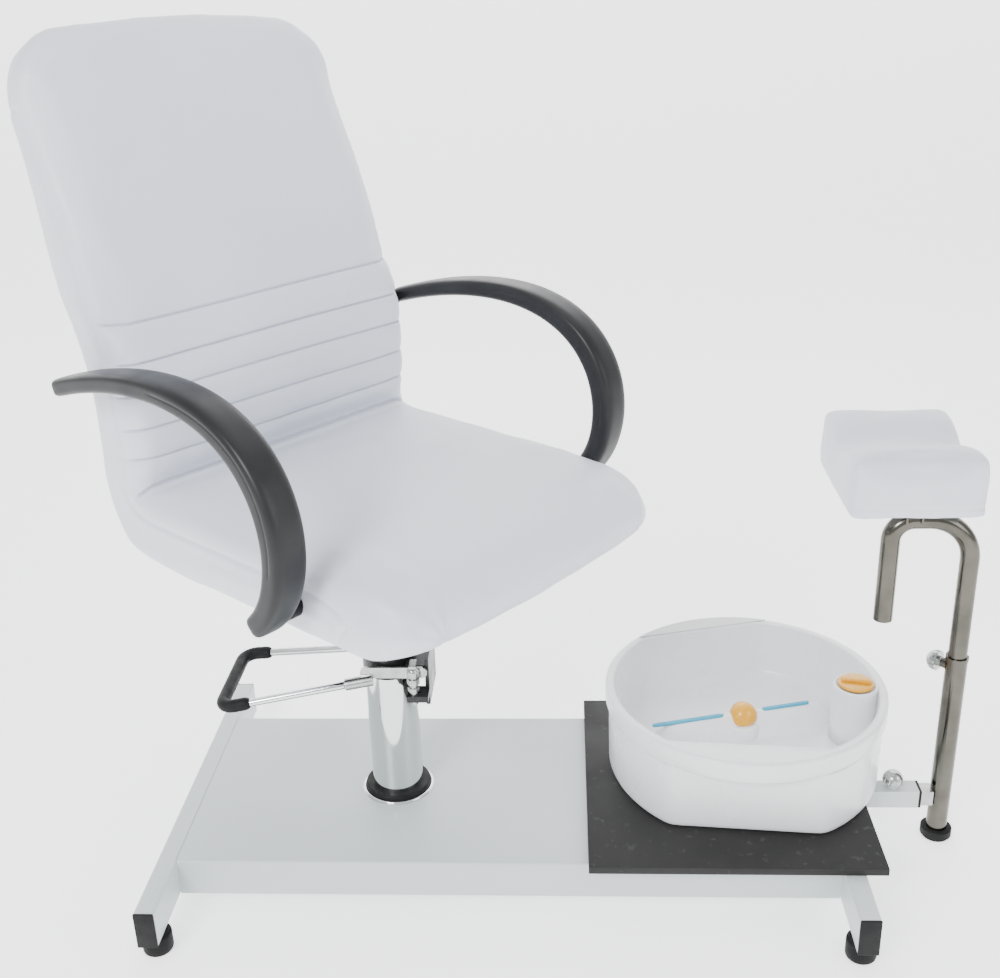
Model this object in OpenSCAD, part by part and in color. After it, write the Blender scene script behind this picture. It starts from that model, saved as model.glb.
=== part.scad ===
// Pedicure spa chair: a padded chair that turns and lifts on a hydraulic column, a foot spa on a
// black board, and a telescoping padded footrest, all on one steel base.
// Millimetres, +Z up. The origin is on the floor under the middle of the whole object. The base runs
// along X, with the chair at its left end and the footrest at its right end.

/* [Base] */
// Length of the base over both cross rails
base_l = 1040; // [980:10:1100]
// Length of a cross rail, front to back
rail_l = 612; // [580:4:640]
// Width of a cross rail
rail_w = 30; // [28:1:34]
// Height of the rails and of the platform
rail_h = 60; // [56:1:64]
// Height of the rail above the floor
foot_h = 33.7; // [30:0.1:38]
// Depth of the platform, front to back
platform_d = 386.6; // [360:0.2:410]
// Thickness of the folded sheet
sheet_t = 2; // [1.5:0.1:2.5]

/* [Column] */
// Distance of the column's axis from the left end of the base
column_inset = 340; // [320:2:360]
// Outer diameter of the chrome sleeve
sleeve_d = 80; // [76:1:84]
// Height of the sleeve's top above the floor
sleeve_top = 311; // [306:1:316]
// Diameter of the lifting piston
piston_d = 50; // [44:1:52]

/* [Chair] */
// Angle of the chair about the column; 0 faces the foot spa
chair_angle = -38.5; // [-60:0.5:0]
// Width of the seat and the back
chair_w = 544; // [536:2:548]
// Height of the seat's underside
seat_bottom = 533; // [531:1:535]
// Height of the seat's top edge
seat_top = 635; // [628:1:640]
// Distance from the column's axis to the front of the seat
seat_front = 334; // [326:1:340]
// Distance from the column's axis back to the crease
crease_x = 205; // [203:1:207]
// Distance between the middle planes of the armrests
arm_span = 638; // [632:2:650]
// Width of an armrest, side to side
arm_w = 42; // [36:1:46]

/* [Foot spa] */
// Diameter of the rim
spa_d = 442; // [430:2:450]
// Height of the foot spa
spa_h = 139; // [134:1:144]
// Turn of the foot spa on its board
spa_angle = -5; // [-10:1:10]
// Width of the board
board_w = 428; // [410:2:440]
// Depth of the board
board_d = 447; // [430:1:460]
// Thickness of the board
board_t = 12.3; // [10:0.1:14]

/* [Footrest] */
// Outer width of the square sleeve tube
arm_sleeve_w = 30; // [30:1:32]
// Width of the square tube that slides in it
inner_arm_w = 25; // [22:1:26]
// Distance of the post's axis from the left end of the base
post_x = 1203; // [1196:1:1210]
// Outer diameter of the lower post
post_d = 32; // [32:1:34]
// Height of the lower post's top
post_top = 322; // [310:1:330]
// Diameter of the bent upper tube
tube_d = 28; // [26:1:28]
// Height of the bent tube's level stretch, at its middle
tube_z = 554; // [548:1:560]
// Distance between the post and the tube's free leg
tube_reach = 117; // [114:1:124]
// Width of the footrest cushion, along X
pad_w = 182; // [170:2:190]
// Depth of the footrest cushion, along Y
pad_d = 226; // [210:2:240]
// Height of the footrest cushion at its humps
pad_h = 84; // [76:1:90]

/* [Hidden] */
$fn = 64;
HULL_FN = 32;
EPS = 0.01;
FIT = 0.05;            // radial clearance of a running fit
origin_x = 546;        // from the left end of the base to the origin
origin_y = 340;        // from the front ends of the rails to the origin
mid_y = rail_l / 2;
deck_z = foot_h + rail_h;
column_x = column_inset - origin_x;
column_y = mid_y - origin_y;
platform_x = rail_w;
platform_w = base_l - 2 * rail_w;
platform_y = mid_y - platform_d / 2;

foot_d = 44;
foot_inset = 35;       // of a foot's axis from the rail's end
cap_t = 3;
rail_t = 2;

plate_t = 6;           // reinforcing plate under the platform
plate_w = 150;
bolt_r = 4;
bolt_circle = 45;      // radius of the column's bolt circle
flange_d = 104;
flange_h = 11;
sleeve_t = 3;
bush_h = 40;
bush_lip = 3;

sleeve_arm_z = deck_z - sheet_t - arm_sleeve_w / 2;   // middle height of the footrest arm
sleeve_arm_x0 = 700;
sleeve_arm_x1 = 1166;
sleeve_arm_t = 1.5;

head_r = 42;
head_z0 = sleeve_top + bush_lip + 0.2;
head_z1 = head_z0 + 38;
pin_x = 54;            // of the lever pin from the column's axis
pin_z = 330;
pin_r = 5;
yoke_in = 46;          // from the column's axis to a yoke arm's inner face
yoke_out = 51;
plunger_x = 43;
plunger_y = -61;
plunger_r = 6;
plunger_top = 346.6;
spindle_r = 15;
washer_t = 3;
post_z0 = head_z1 + washer_t + 0.1;
seat_plate_z = 505;
beam_z = 511;
beam_h = seat_bottom - beam_z;
beam_y = 110;
board12 = 12;          // plywood in the seat
board_top = seat_bottom + board12;
iron_t = 6;
iron_w = 40;
iron_y = 120;
back_board_t = 10;
back_board_w = 480;
back_board_lean = 10.5;
back_board_x = -270;   // its foot, measured forward from the column
back_board_z = 640;
back_board_h = 556;

rod_r = 6;
grip_r = 10;
lever_start = [-38, 0, 316];   // middle of the lever where its rods enter the yoke
lever_tilt = 7.6;              // slope of the lever down toward the pedal
lever_gap = 53;                // from the middle to a rod's axis, at the yoke
lever_spread = 7.8;            // angle at which each rod leans outward
lever_len = 204;               // from the yoke to the middle of the cross bar
lever_bend_r = 20;

arm_front = [135, 577];        // front fixing of an armrest: along the chair, height
arm_rear = [-249, 802];        // rear fixing
spacer_r = 15;
side_gap = 0.3;                // between the cushions' sides and the spacers

spa_x = 896 - origin_x;
spa_y = 366 - origin_y;
spa_r = spa_d / 2;
spa_foot = 3;
spa_z0 = deck_z + board_t;
spa_z1 = spa_z0 + spa_h;
tub_r = spa_r - 13;
tub_flat = 171;        // from the middle to the tub's flat front
tub_rear = 178;        // and to its flat back, which is turned with the bubble strips
wall_flat = 192;       // the same for the housing
wall_rear = 199;
tub_floor = spa_z0 + 42;
skirt_h = 30;
rim_t = 4;
knob_place = [174, 10];
knob_r = 28;
head_base_h = 28;
ridge_h = 42;
strip_angle = 20;
strip_spans = [[-152, -30], [30, 114]];   // each strip's ends, from the massage head's middle

board_x = 642.5 - origin_x;
board_y = 89.5 - origin_y;

post_cx = post_x - origin_x;
post_cy = column_y;
bend_r = 64;           // bend over the post
bend_small = 32;       // bend over the free leg
tube_t = 2;
free_leg_bottom = 392;
tube_bottom = 110;
pad_x = 1113 - origin_x;
pad_y = 389 - origin_y;
pad_z = tube_z + tube_d / 2 + 3;
pad_board_t = 12;
stud_r = 4;
hand_r = 16;
post_knob_turn = -45;  // the post's clamp knob points back and to the left

// ---------- placing ----------

// base coordinates: X from the left end of the base, Y from the front ends of the rails
module on_base() { translate([-origin_x, -origin_y, 0]) children(); }

module on_column() { translate([column_x, column_y, 0]) children(); }

// chair coordinates: +X the way the sitter faces, +Y to the sitter's left
module on_chair() { on_column() rotate(chair_angle) children(); }

module on_spa() { translate([spa_x, spa_y, 0]) rotate(spa_angle) children(); }

module both_sides() {
    children();
    mirror([0, 1, 0]) children();
}

module ring(r_out, r_in, h) {
    difference() {
        cylinder(r = r_out, h = h);
        translate([0, 0, -1]) cylinder(r = r_in, h = h + 2);
    }
}

// a mushroom-shaped clamp knob on a stud; the stud points down from the origin
module clamp_knob(stud_len) {
    translate([0, 0, -stud_len]) cylinder(r = stud_r, h = stud_len + 1);
    cylinder(r = 8, h = 5);
    translate([0, 0, 5])
        difference() {
            rotate_extrude($fn = 48)
                intersection() {
                    translate([0, 3]) circle(r = hand_r);
                    square([hand_r, 18]);
                }
            for (a = [0 : 30 : 330])
                rotate(a) translate([hand_r + 1, 0, -1]) cylinder(r = 2.4, h = 21, $fn = 16);
        }
}

// ---------- base ----------

module rail_tube() {
    difference() {
        cube([rail_w, rail_l, rail_h]);
        translate([rail_t, -1, rail_t])
            cube([rail_w - 2 * rail_t, rail_l + 2, rail_h - 2 * rail_t]);
    }
}

module rail_left() {
    color("gainsboro") on_base() translate([0, 0, foot_h]) rail_tube();
}

module rail_right() {
    window = arm_sleeve_w + 0.2;
    color("gainsboro") on_base()
        difference() {
            translate([base_l - rail_w, 0, foot_h]) rail_tube();
            translate([base_l - rail_w - 1, mid_y - window / 2, sleeve_arm_z - window / 2])
                cube([rail_w + 2, window, window]);
        }
}

module column_holes(r) {
    on_column()
        for (a = [45 : 90 : 315])
            rotate(a) translate([bolt_circle, 0, 0]) cylinder(r = r, h = 200);
}

function board_screw_places() = [
    for (x = [board_x + 60, board_x + 330], y = [board_y + 90, board_y + 357]) [x, y]
];

module board_screw_holes(r) {
    for (p = board_screw_places())
        translate([p[0], p[1], deck_z - 20]) cylinder(r = r, h = 60, $fn = 24);
}

module platform() {
    color("gainsboro")
        difference() {
            on_base() translate([platform_x, platform_y, foot_h])
                cube([platform_w, platform_d, rail_h]);
            on_base() translate([platform_x - 1, platform_y + sheet_t, foot_h - 1])
                cube([platform_w + 2, platform_d - 2 * sheet_t, rail_h - sheet_t + 1]);
            column_holes(bolt_r + 0.3);
            board_screw_holes(2.4);
        }
}

module rail_end_cap() {
    plug = 0.2;
    translate([0, -cap_t, 0]) cube([rail_w, cap_t, rail_h]);
    translate([rail_t + plug, 0, rail_t + plug])
        cube([rail_w - 2 * (rail_t + plug), 14, rail_h - 2 * (rail_t + plug)]);
}

module rail_end_caps() {
    color("black") on_base()
        for (x = [0, base_l - rail_w]) {
            translate([x, 0, foot_h]) rail_end_cap();
            translate([x, rail_l, foot_h]) mirror([0, 1, 0]) rail_end_cap();
        }
}

// a foot: a thick rubber disc with a rounded lower edge and a neck up to the rail
module rubber_foot() {
    rotate_extrude() {
        translate([0, 4]) square([foot_d / 2, foot_h - 6.7]);
        square([foot_d / 2 - 4, 6]);
        translate([foot_d / 2 - 4, 4]) intersection() {
            circle(r = 4);
            translate([0, -4]) square(4);
        }
        translate([0, foot_h - 3]) square([foot_d / 2 - 4, 3]);
    }
}

module base_feet() {
    color("black") on_base()
        for (x = [rail_w / 2, base_l - rail_w / 2], y = [foot_inset, rail_l - foot_inset])
            translate([x, y, 0]) rubber_foot();
}

module arm_sleeve() {
    inner = arm_sleeve_w - 2 * sleeve_arm_t;
    len = sleeve_arm_x1 - sleeve_arm_x0;
    color("gainsboro") on_base()
        translate([sleeve_arm_x0, mid_y, sleeve_arm_z])
            difference() {
                union() {
                    translate([0, -arm_sleeve_w / 2, -arm_sleeve_w / 2])
                        cube([len, arm_sleeve_w, arm_sleeve_w]);
                    translate([arm_knob_x(), 0, arm_sleeve_w / 2]) cylinder(r = 9, h = 5);
                }
                translate([-1, -inner / 2, -inner / 2]) cube([len + 2, inner, inner]);
                translate([arm_knob_x(), 0, 0]) cylinder(r = stud_r + FIT, h = 60);
            }
}

function arm_knob_x() = 1127 - sleeve_arm_x0;

module arm_sleeve_bush() {
    hole = inner_arm_w + 0.4;
    inner = arm_sleeve_w - 2 * sleeve_arm_t - 0.1;
    color("black") on_base()
        translate([sleeve_arm_x1, mid_y, sleeve_arm_z])
            difference() {
                union() {
                    translate([0, -arm_sleeve_w / 2, -arm_sleeve_w / 2])
                        cube([4, arm_sleeve_w, arm_sleeve_w]);
                    translate([-16, -inner / 2, -inner / 2]) cube([17, inner, inner]);
                }
                translate([-20, -hole / 2, -hole / 2]) cube([40, hole, hole]);
            }
}

module column_plate() {
    color("dimgray")
        difference() {
            on_column() translate([-plate_w / 2, -plate_w / 2, deck_z - sheet_t - plate_t])
                cube([plate_w, plate_w, plate_t]);
            column_holes(bolt_r + 0.3);
        }
}

module column_bolts() {
    head_z = deck_z - sheet_t - plate_t - 5;
    color("silver") on_column()
        for (a = [45 : 90 : 315])
            rotate(a) translate([bolt_circle, 0, head_z]) {
                cylinder(r = 7.2, h = 5, $fn = 6);
                cylinder(r = bolt_r, h = 5 + plate_t + sheet_t + 8);
            }
}

module column_flange() {
    color("dimgray") on_column() translate([0, 0, deck_z])
        difference() {
            rotate_extrude() {
                square([flange_d / 2, flange_h - 4]);
                square([flange_d / 2 - 4, flange_h]);
                translate([flange_d / 2 - 4, flange_h - 4]) circle(r = 4);
            }
            translate([0, 0, -1]) cylinder(d = sleeve_d + 2 * FIT, h = flange_h + 2);
            for (a = [45 : 90 : 315])
                rotate(a) translate([bolt_circle, 0, -1]) cylinder(r = bolt_r, h = 9);
        }
}

module column_trim_ring() {
    color("silver") on_column() translate([0, 0, deck_z])
        difference() {
            rotate_extrude() {
                square([flange_d / 2 + 5, 1.5]);
                translate([flange_d / 2 + 2, 1.5]) circle(r = 2.5);
            }
            translate([0, 0, -10]) cylinder(d = flange_d + 2 * FIT, h = 20);
            translate([0, 0, -10]) cylinder(d = flange_d + 30, h = 10);
        }
}

module column_sleeve() {
    color("silver") on_column() translate([0, 0, deck_z])
        ring(sleeve_d / 2, sleeve_d / 2 - sleeve_t, sleeve_top - deck_z);
}

module guide_bush() {
    color("black") on_column() translate([0, 0, sleeve_top - bush_h])
        difference() {
            union() {
                cylinder(r = sleeve_d / 2 - sleeve_t, h = bush_h);
                translate([0, 0, bush_h]) cylinder(r = sleeve_d / 2, h = bush_lip);
            }
            translate([0, 0, -1]) cylinder(r = piston_d / 2 + FIT, h = bush_h + bush_lip + 2);
        }
}

module spa_board() {
    color("darkslategray")
        difference() {
            translate([board_x, board_y, deck_z]) cube([board_w, board_d, board_t]);
            for (p = board_screw_places())
                translate([p[0], p[1], deck_z - 1]) cylinder(r = 2, h = 10, $fn = 24);
        }
}

module board_screws() {
    color("silver")
        for (p = board_screw_places())
            translate([p[0], p[1], deck_z - sheet_t - 3]) {
                cylinder(r = 4.5, h = 3, $fn = 24);
                cylinder(r = 2, h = 3 + sheet_t + 8, $fn = 24);
            }
}

// ---------- lift ----------

module piston() {
    color("silver") on_column() {
        translate([0, 0, 104]) cylinder(d = piston_d, h = head_z0 - 104);
        translate([0, 0, head_z0]) cylinder(r = spindle_r, h = seat_plate_z - 12 - head_z0);
    }
}

// a cap on the piston, with a lug outside the sleeve for the lever's pin, a guard plate that hangs
// from the lug, and a block for the plunger on the guard plate
module pump_head() {
    lug_y = yoke_in - 1;
    color("dimgray") on_column()
        difference() {
            union() {
                translate([0, 0, head_z0]) cylinder(r = head_r, h = head_z1 - head_z0 - 5);
                translate([0, 0, head_z1 - 5]) cylinder(r = head_r - 6, h = 5);
                translate([30, -lug_y, pin_z - 10]) cube([32, 2 * lug_y, 20]);
                translate([59, -lug_y, 272]) cube([6, 2 * lug_y, head_z1 - 2 - 272]);
                translate([plunger_x - 10, plunger_y - 9, 290]) cube([65 - plunger_x + 10, 32, 10]);
            }
            translate([pin_x, 0, pin_z]) rotate([90, 0, 0])
                translate([0, 0, -80]) cylinder(r = pin_r, h = 160);
            translate([0, 0, head_z0 - 1]) cylinder(r = spindle_r, h = 60);
            translate([plunger_x, plunger_y, 250]) cylinder(r = plunger_r + FIT, h = 100);
        }
}

module lever_pin() {
    color("silver") on_column() translate([pin_x, yoke_out + 3, pin_z]) rotate([90, 0, 0]) {
        cylinder(r = pin_r, h = 2 * yoke_out + 3);
        translate([0, 0, -3]) cylinder(r = 8, h = 3);
    }
}

module thrust_washer() {
    color("silver") on_column() translate([0, 0, head_z1])
        ring(head_r - 8, spindle_r + 1, washer_t);
}

// ---------- pump lever ----------

// the lever lies in one plane, sloping down toward the pedal; here X runs toward the column
module on_lever() {
    on_column() translate(lever_start) rotate([0, -lever_tilt, 0]) children();
}

// middle of the bend between a rod and the cross bar
bend_x = -lever_len + lever_bend_r;
bend_y = lever_gap
    - (lever_bend_r + bend_x * sin(lever_spread)) / cos(lever_spread);

// the middle line of the whole U, starting `from` along one rod and ending there on the other
function lever_side(from) = concat(
    [[-from * cos(lever_spread), lever_gap + from * sin(lever_spread)]],
    [for (i = [0 : 8]) let (a = 90 - lever_spread + i / 8 * (90 + lever_spread))
        [bend_x + lever_bend_r * cos(a), bend_y + lever_bend_r * sin(a)]]
);
function lever_line(from) = let (side = lever_side(from), n = len(side)) concat(
    side, [for (i = [n - 1 : -1 : 0]) [side[i][0], -side[i][1]]]
);

function unit(v) = v / norm(v);

// a round bar along a flat line, mitred at every point
module swept_bar(line, r) {
    n = len(line);
    k = 24;
    along = [for (i = [0 : n - 1]) unit(
        (i < n - 1 ? unit(line[i + 1] - line[i]) : [0, 0])
        + (i > 0 ? unit(line[i] - line[i - 1]) : [0, 0]))];
    aside = [for (i = [0 : n - 1]) let (
            t = i < n - 1 ? unit(line[i + 1] - line[i]) : unit(line[i] - line[i - 1]))
        [-along[i][1], along[i][0]] / (along[i] * t)];
    points = [for (i = [0 : n - 1]) for (j = [0 : k - 1]) let (
            c = r * cos(j * 360 / k), h = r * sin(j * 360 / k))
        [line[i][0] + c * aside[i][0], line[i][1] + c * aside[i][1], h]];
    sides = [for (i = [0 : n - 2]) for (j = [0 : k - 1])
        [i * k + j, (i + 1) * k + j, (i + 1) * k + (j + 1) % k, i * k + (j + 1) % k]];
    first = [for (j = [0 : k - 1]) j];
    last = [for (j = [k - 1 : -1 : 0]) (n - 1) * k + j];
    polyhedron(points, concat([first], sides, [last]), convexity = 6);
}

module lever_rod() {
    color("silver") on_lever() swept_bar(lever_line(0), rod_r);
}

module lever_grip() {
    color("black") on_lever()
        difference() {
            swept_bar(lever_line(153), grip_r);
            swept_bar(lever_line(140), rod_r);
        }
}

// a round bar along the start of one rod
module lever_socket(r, from, to) {
    translate([0, lever_gap, 0]) rotate([0, 0, -lever_spread]) rotate([0, -90, 0])
        translate([0, 0, from]) cylinder(r = r, h = to - from);
}

// two arms astride the head, turning on the pin, each with a socket for a rod; a tab on the front
// arm presses the plunger down
module lever_arms() {
    tab_z = plunger_top + 0.4;
    color("dimgray")
        difference() {
            union() {
                on_column() both_sides()
                    translate([0, yoke_out, pin_z]) rotate([90, 0, 0])
                        linear_extrude(yoke_out - yoke_in) {
                            translate([-30, -9]) square([30 + pin_x, 18]);
                            translate([pin_x, 0]) circle(r = 9);
                            translate([-30, 0]) circle(r = 9);
                        }
                on_lever() both_sides() lever_socket(rod_r + 3, -18, 24);
                on_column() translate([plunger_x - 5, -yoke_out, pin_z])
                    cube([10, yoke_out - yoke_in, tab_z + 4 - pin_z]);
                on_column() translate([plunger_x - 5, plunger_y - 8, tab_z])
                    cube([10, -yoke_in - plunger_y + 8, 4]);
            }
            on_lever() both_sides() lever_socket(rod_r, 0, 60);
            on_column() translate([pin_x, 80, pin_z]) rotate([90, 0, 0])
                cylinder(r = pin_r + FIT, h = 160);
        }
}

// a stem with two nuts and a domed cap
module pump_plunger() {
    color("silver") on_column() translate([plunger_x, plunger_y, 0]) {
        translate([0, 0, 284]) cylinder(r = plunger_r, h = 50);
        translate([0, 0, 306]) cylinder(r = 9, h = 6, $fn = 6);
        translate([0, 0, 318]) cylinder(r = 9.5, h = 9, $fn = 6);
        translate([0, 0, plunger_top - 16]) rotate_extrude()
            intersection() {
                union() {
                    square([9, 7]);
                    translate([0, 7]) circle(r = 9);
                }
                square([9, 16]);
            }
    }
}

// ---------- chair ----------

module swivel_post() {
    color("dimgray") on_column() translate([0, 0, post_z0])
        difference() {
            union() {
                cylinder(r = 36, h = 8);
                cylinder(r = 30, h = seat_plate_z - post_z0);
            }
            translate([0, 0, -1]) cylinder(r = spindle_r + FIT, h = seat_plate_z - post_z0 - 5);
        }
}

function beam_screw_places() = [
    for (x = [-150, -60, 60, 150], y = [-beam_y, beam_y]) [x, y]
];

module seat_plate() {
    color("dimgray") on_chair() translate([-120, -beam_y - 30, seat_plate_z])
        cube([240, 2 * beam_y + 60, beam_z - seat_plate_z]);
}

module seat_beams() {
    wall = 3;
    color("dimgray") on_chair()
        for (y = [-beam_y, beam_y])
            difference() {
                translate([-195, y - 20, beam_z]) cube([390, 40, beam_h]);
                translate([-196, y - 20 + wall, beam_z - 1])
                    cube([392, 40 - 2 * wall, beam_h - wall + 1]);
                for (x = [-150, 150])
                    translate([x, y, beam_z]) cylinder(r = 3, h = 40, $fn = 24);
            }
}

module beam_screws() {
    color("silver") on_chair()
        for (x = [-150, 150], y = [-beam_y, beam_y])
            translate([x, y, seat_bottom - 3 - 3]) {
                cylinder(r = 6, h = 3, $fn = 24);
                cylinder(r = 3, h = 3 + 3 + 8, $fn = 24);
            }
}

module seat_board() {
    color("tan") on_chair()
        difference() {
            translate([-190, -chair_w / 2 + 22, seat_bottom])
                cube([460, chair_w - 44, board12]);
            for (x = [-150, 150], y = [-beam_y, beam_y])
                translate([x, y, seat_bottom - 1]) cylinder(r = 3, h = 9, $fn = 24);
        }
}

module back_board() {
    color("tan") on_chair()
        translate([back_board_x, -back_board_w / 2, back_board_z])
            rotate([0, -back_board_lean, 0])
                cube([back_board_t, back_board_w, back_board_h]);
}

// flat bars that join the seat board to the back board inside the padding
module back_iron() {
    lean = tan(back_board_lean);
    face = back_board_x + back_board_t / cos(back_board_lean);
    up = 120;
    translate([0, iron_w / 2, 0]) rotate([90, 0, 0]) linear_extrude(iron_w)
        polygon([
            [-100, board_top], [-100, board_top + iron_t],
            [face + iron_t, board_top + iron_t],
            [face + iron_t + 0.5, back_board_z],
            [face + iron_t + 0.5 - up * lean, back_board_z + up],
            [face + 0.5 - up * lean, back_board_z + up],
            [face + 0.5, back_board_z], [face, board_top]
        ]);
}

module back_irons() {
    color("dimgray") on_chair()
        for (y = [-iron_y, iron_y]) translate([0, y, 0]) back_iron();
}

// the seat's side outline, extruded over its width, and its outline from above
module seat_shape() {
    intersection() {
        translate([0, chair_w / 2, 0]) rotate([90, 0, 0]) linear_extrude(chair_w)
            hull() {
                translate([-crease_x, seat_bottom]) square([1, seat_top - seat_bottom]);
                translate([150, seat_top - 40]) circle(r = 40, $fn = HULL_FN);
                translate([seat_front - 32, 570]) circle(r = 32, $fn = HULL_FN);
                translate([seat_front - 36, seat_bottom + 8]) circle(r = 8, $fn = HULL_FN);
            }
        linear_extrude(seat_top + 10)
            hull() {
                translate([-crease_x, -chair_w / 2]) square([1, chair_w]);
                for (s = [-1, 1]) {
                    translate([238, s * (chair_w / 2 - 60)]) circle(r = 60, $fn = HULL_FN);
                    translate([seat_front - 20, s * 110]) circle(r = 10, $fn = HULL_FN);
                }
                translate([seat_front - 10, 0]) circle(r = 10, $fn = HULL_FN);
            }
    }
}

// one stretch of the back's side outline, between two circles
module back_stretch(a, b) {
    hull() {
        translate([a[0], a[1]]) circle(r = a[2], $fn = HULL_FN);
        translate([b[0], b[1]]) circle(r = b[2], $fn = HULL_FN);
    }
}

// the back's side outline is a chain of circles: [along, height, radius]
BACK_CHAIN = [
    [-235, 600, 60], [-246, 760, 52], [-272, 880, 56], [-322, 1030, 50], [-358, 1150, 36],
    [-366, 1238, 28]
];

module back_shape() {
    top = BACK_CHAIN[5][1] + BACK_CHAIN[5][2];
    half = chair_w / 2;
    intersection() {
        translate([0, half, 0]) rotate([90, 0, 0]) linear_extrude(chair_w)
            difference() {
                for (i = [0 : 4]) back_stretch(BACK_CHAIN[i], BACK_CHAIN[i + 1]);
                translate([-crease_x - 0.3, 400]) square([300, 245]);
            }
        translate([-450, 0, 0]) rotate([90, 0, 90]) linear_extrude(450)
            hull() {
                translate([-half, 500]) square([2 * half, 1]);
                for (s = [-1, 1]) {
                    translate([s * (half - 74), top - 90]) circle(r = 70, $fn = HULL_FN);
                    translate([s * 110, top - 24]) circle(r = 20, $fn = HULL_FN);
                }
                translate([0, top - 20]) circle(r = 20, $fn = HULL_FN);
            }
    }
}

// holes through a cushion's side for the armrest bolts, each with a pocket for the nut
module arm_bolt_holes(r, clear) {
    for (p = [arm_front, arm_rear])
        both_sides() translate([p[0], 0, p[1]]) rotate([-90, 0, 0]) {
            translate([0, 0, 228]) cylinder(r = r, h = 80, $fn = 24);
            translate([0, 0, 228 - clear]) cylinder(r = 10 + clear, h = 6 + 2 * clear, $fn = 24);
        }
}

module seat_cushion() {
    color("whitesmoke") on_chair()
        difference() {
            seat_shape();
            translate([-190 - EPS, -chair_w / 2 + 22 - EPS, seat_bottom - 1])
                cube([460 + 2 * EPS, chair_w - 44 + 2 * EPS, board12 + 1]);
            translate([-300, -iron_y - iron_w / 2, board_top - 1])
                cube([201, iron_w, iron_t + 1]);
            translate([-300, iron_y - iron_w / 2, board_top - 1])
                cube([201, iron_w, iron_t + 1]);
            arm_bolt_holes(bolt_r, 0.1);
        }
}

module back_cushion() {
    color("whitesmoke") on_chair()
        difference() {
            back_shape();
            translate([back_board_x, -back_board_w / 2, back_board_z])
                rotate([0, -back_board_lean, 0])
                    cube([back_board_t, back_board_w, back_board_h]);
            for (y = [-iron_y, iron_y]) translate([0, y, 0]) back_iron();
            arm_bolt_holes(bolt_r, 0.1);
        }
}

// middle line of an armrest seen from the side: a Bezier curve from its rear to its front end
ARM_POINTS = [[-262, 800], [-20, 876], [145, 852], [200, 784], [221, 634], [122, 564]];

function choose(n, k) = k == 0 ? 1 : choose(n, k - 1) * (n - k + 1) / k;
function arm_point(t, i = 0) = i > 5 ? [0, 0] :
    choose(5, i) * pow(t, i) * pow(1 - t, 5 - i) * ARM_POINTS[i] + arm_point(t, i + 1);
function arm_half(t) = 11 + 5 * pow(sin(140 * t), 1.5);
function arm_side(t) = let (d = arm_point(t + 0.01) - arm_point(t - 0.01))
    [-d[1], d[0]] / norm(d);

// points round an end of the armrest, from one side to the other; way is 1 at the front, -1 behind
function arm_end(t, way) = let (n = arm_side(t), along = [n[1], -n[0]])
    [for (a = [20 : 20 : 160]) arm_point(t) + way * arm_half(t) * (cos(a) * n + sin(a) * along)];

module armrest() {
    steps = 40;
    t = [for (i = [0 : steps]) i / steps];
    translate([0, arm_w / 2, 0]) rotate([90, 0, 0]) linear_extrude(arm_w)
        polygon(concat(
            [for (s = t) arm_point(s) + arm_half(s) * arm_side(s)],
            arm_end(1, 1),
            [for (i = [steps : -1 : 0]) arm_point(t[i]) - arm_half(t[i]) * arm_side(t[i])],
            arm_end(0, -1)
        ));
}

module arm_right() {
    color("black") on_chair()
        difference() {
            translate([0, -arm_span / 2, 0]) armrest();
            arm_bolt_holes(bolt_r, 0);
        }
}

module arm_left() {
    color("black") on_chair()
        difference() {
            translate([0, arm_span / 2, 0]) armrest();
            arm_bolt_holes(bolt_r, 0);
        }
}

module arm_spacers() {
    from = chair_w / 2 + side_gap;
    to = arm_span / 2 - arm_w / 2;
    color("black") on_chair() both_sides()
        for (p = [arm_front, arm_rear])
            translate([p[0], from, p[1]]) rotate([-90, 0, 0])
                ring(p == arm_rear ? 11 : spacer_r, bolt_r, to - from);
}

module arm_bolts() {
    color("silver") on_chair() both_sides()
        for (p = [arm_front, arm_rear])
            translate([p[0], 228, p[1]]) rotate([-90, 0, 0]) {
                cylinder(r = bolt_r, h = 80, $fn = 24);
                cylinder(r = 10, h = 6, $fn = 24);
            }
}

// ---------- footrest arm and post ----------

module inner_arm() {
    wall = 1.5;
    in_w = inner_arm_w - 2 * wall;
    x0 = 830;
    len = post_x - post_d / 2 + 2 - x0;
    color("silver") on_base() translate([x0, mid_y, sleeve_arm_z])
        difference() {
            translate([0, -inner_arm_w / 2, -inner_arm_w / 2])
                cube([len, inner_arm_w, inner_arm_w]);
            translate([-1, -in_w / 2, -in_w / 2]) cube([len - 20, in_w, in_w]);
            translate([post_x - x0, 0, -50]) cylinder(d = post_d, h = 100);
        }
}

module lower_post() {
    color("silver") translate([post_cx, post_cy, 0])
        difference() {
            union() {
                translate([0, 0, 14]) cylinder(d = post_d, h = post_top - 14);
                rotate(post_knob_turn) translate([-post_d / 2 - 7, 0, post_top - 14])
                    rotate([0, 90, 0]) cylinder(r = 8, h = 12);
            }
            translate([0, 0, 40]) cylinder(r = tube_d / 2 + FIT, h = post_top);
            rotate(post_knob_turn) translate([-60, 0, post_top - 14]) rotate([0, 90, 0])
                cylinder(r = stud_r + FIT, h = 60);
        }
}

module post_foot() {
    color("black") translate([post_cx, post_cy, 0])
        difference() {
            rotate_extrude() {
                square([21, 18]);
                translate([0, 4]) square([24, 12]);
                translate([20, 6]) circle(r = 4);
                translate([20, 14]) circle(r = 4);
            }
            translate([0, 0, 14]) cylinder(d = post_d, h = 20);
            translate([0, 0, -10]) cylinder(r = 40, h = 10);
        }
}

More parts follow.
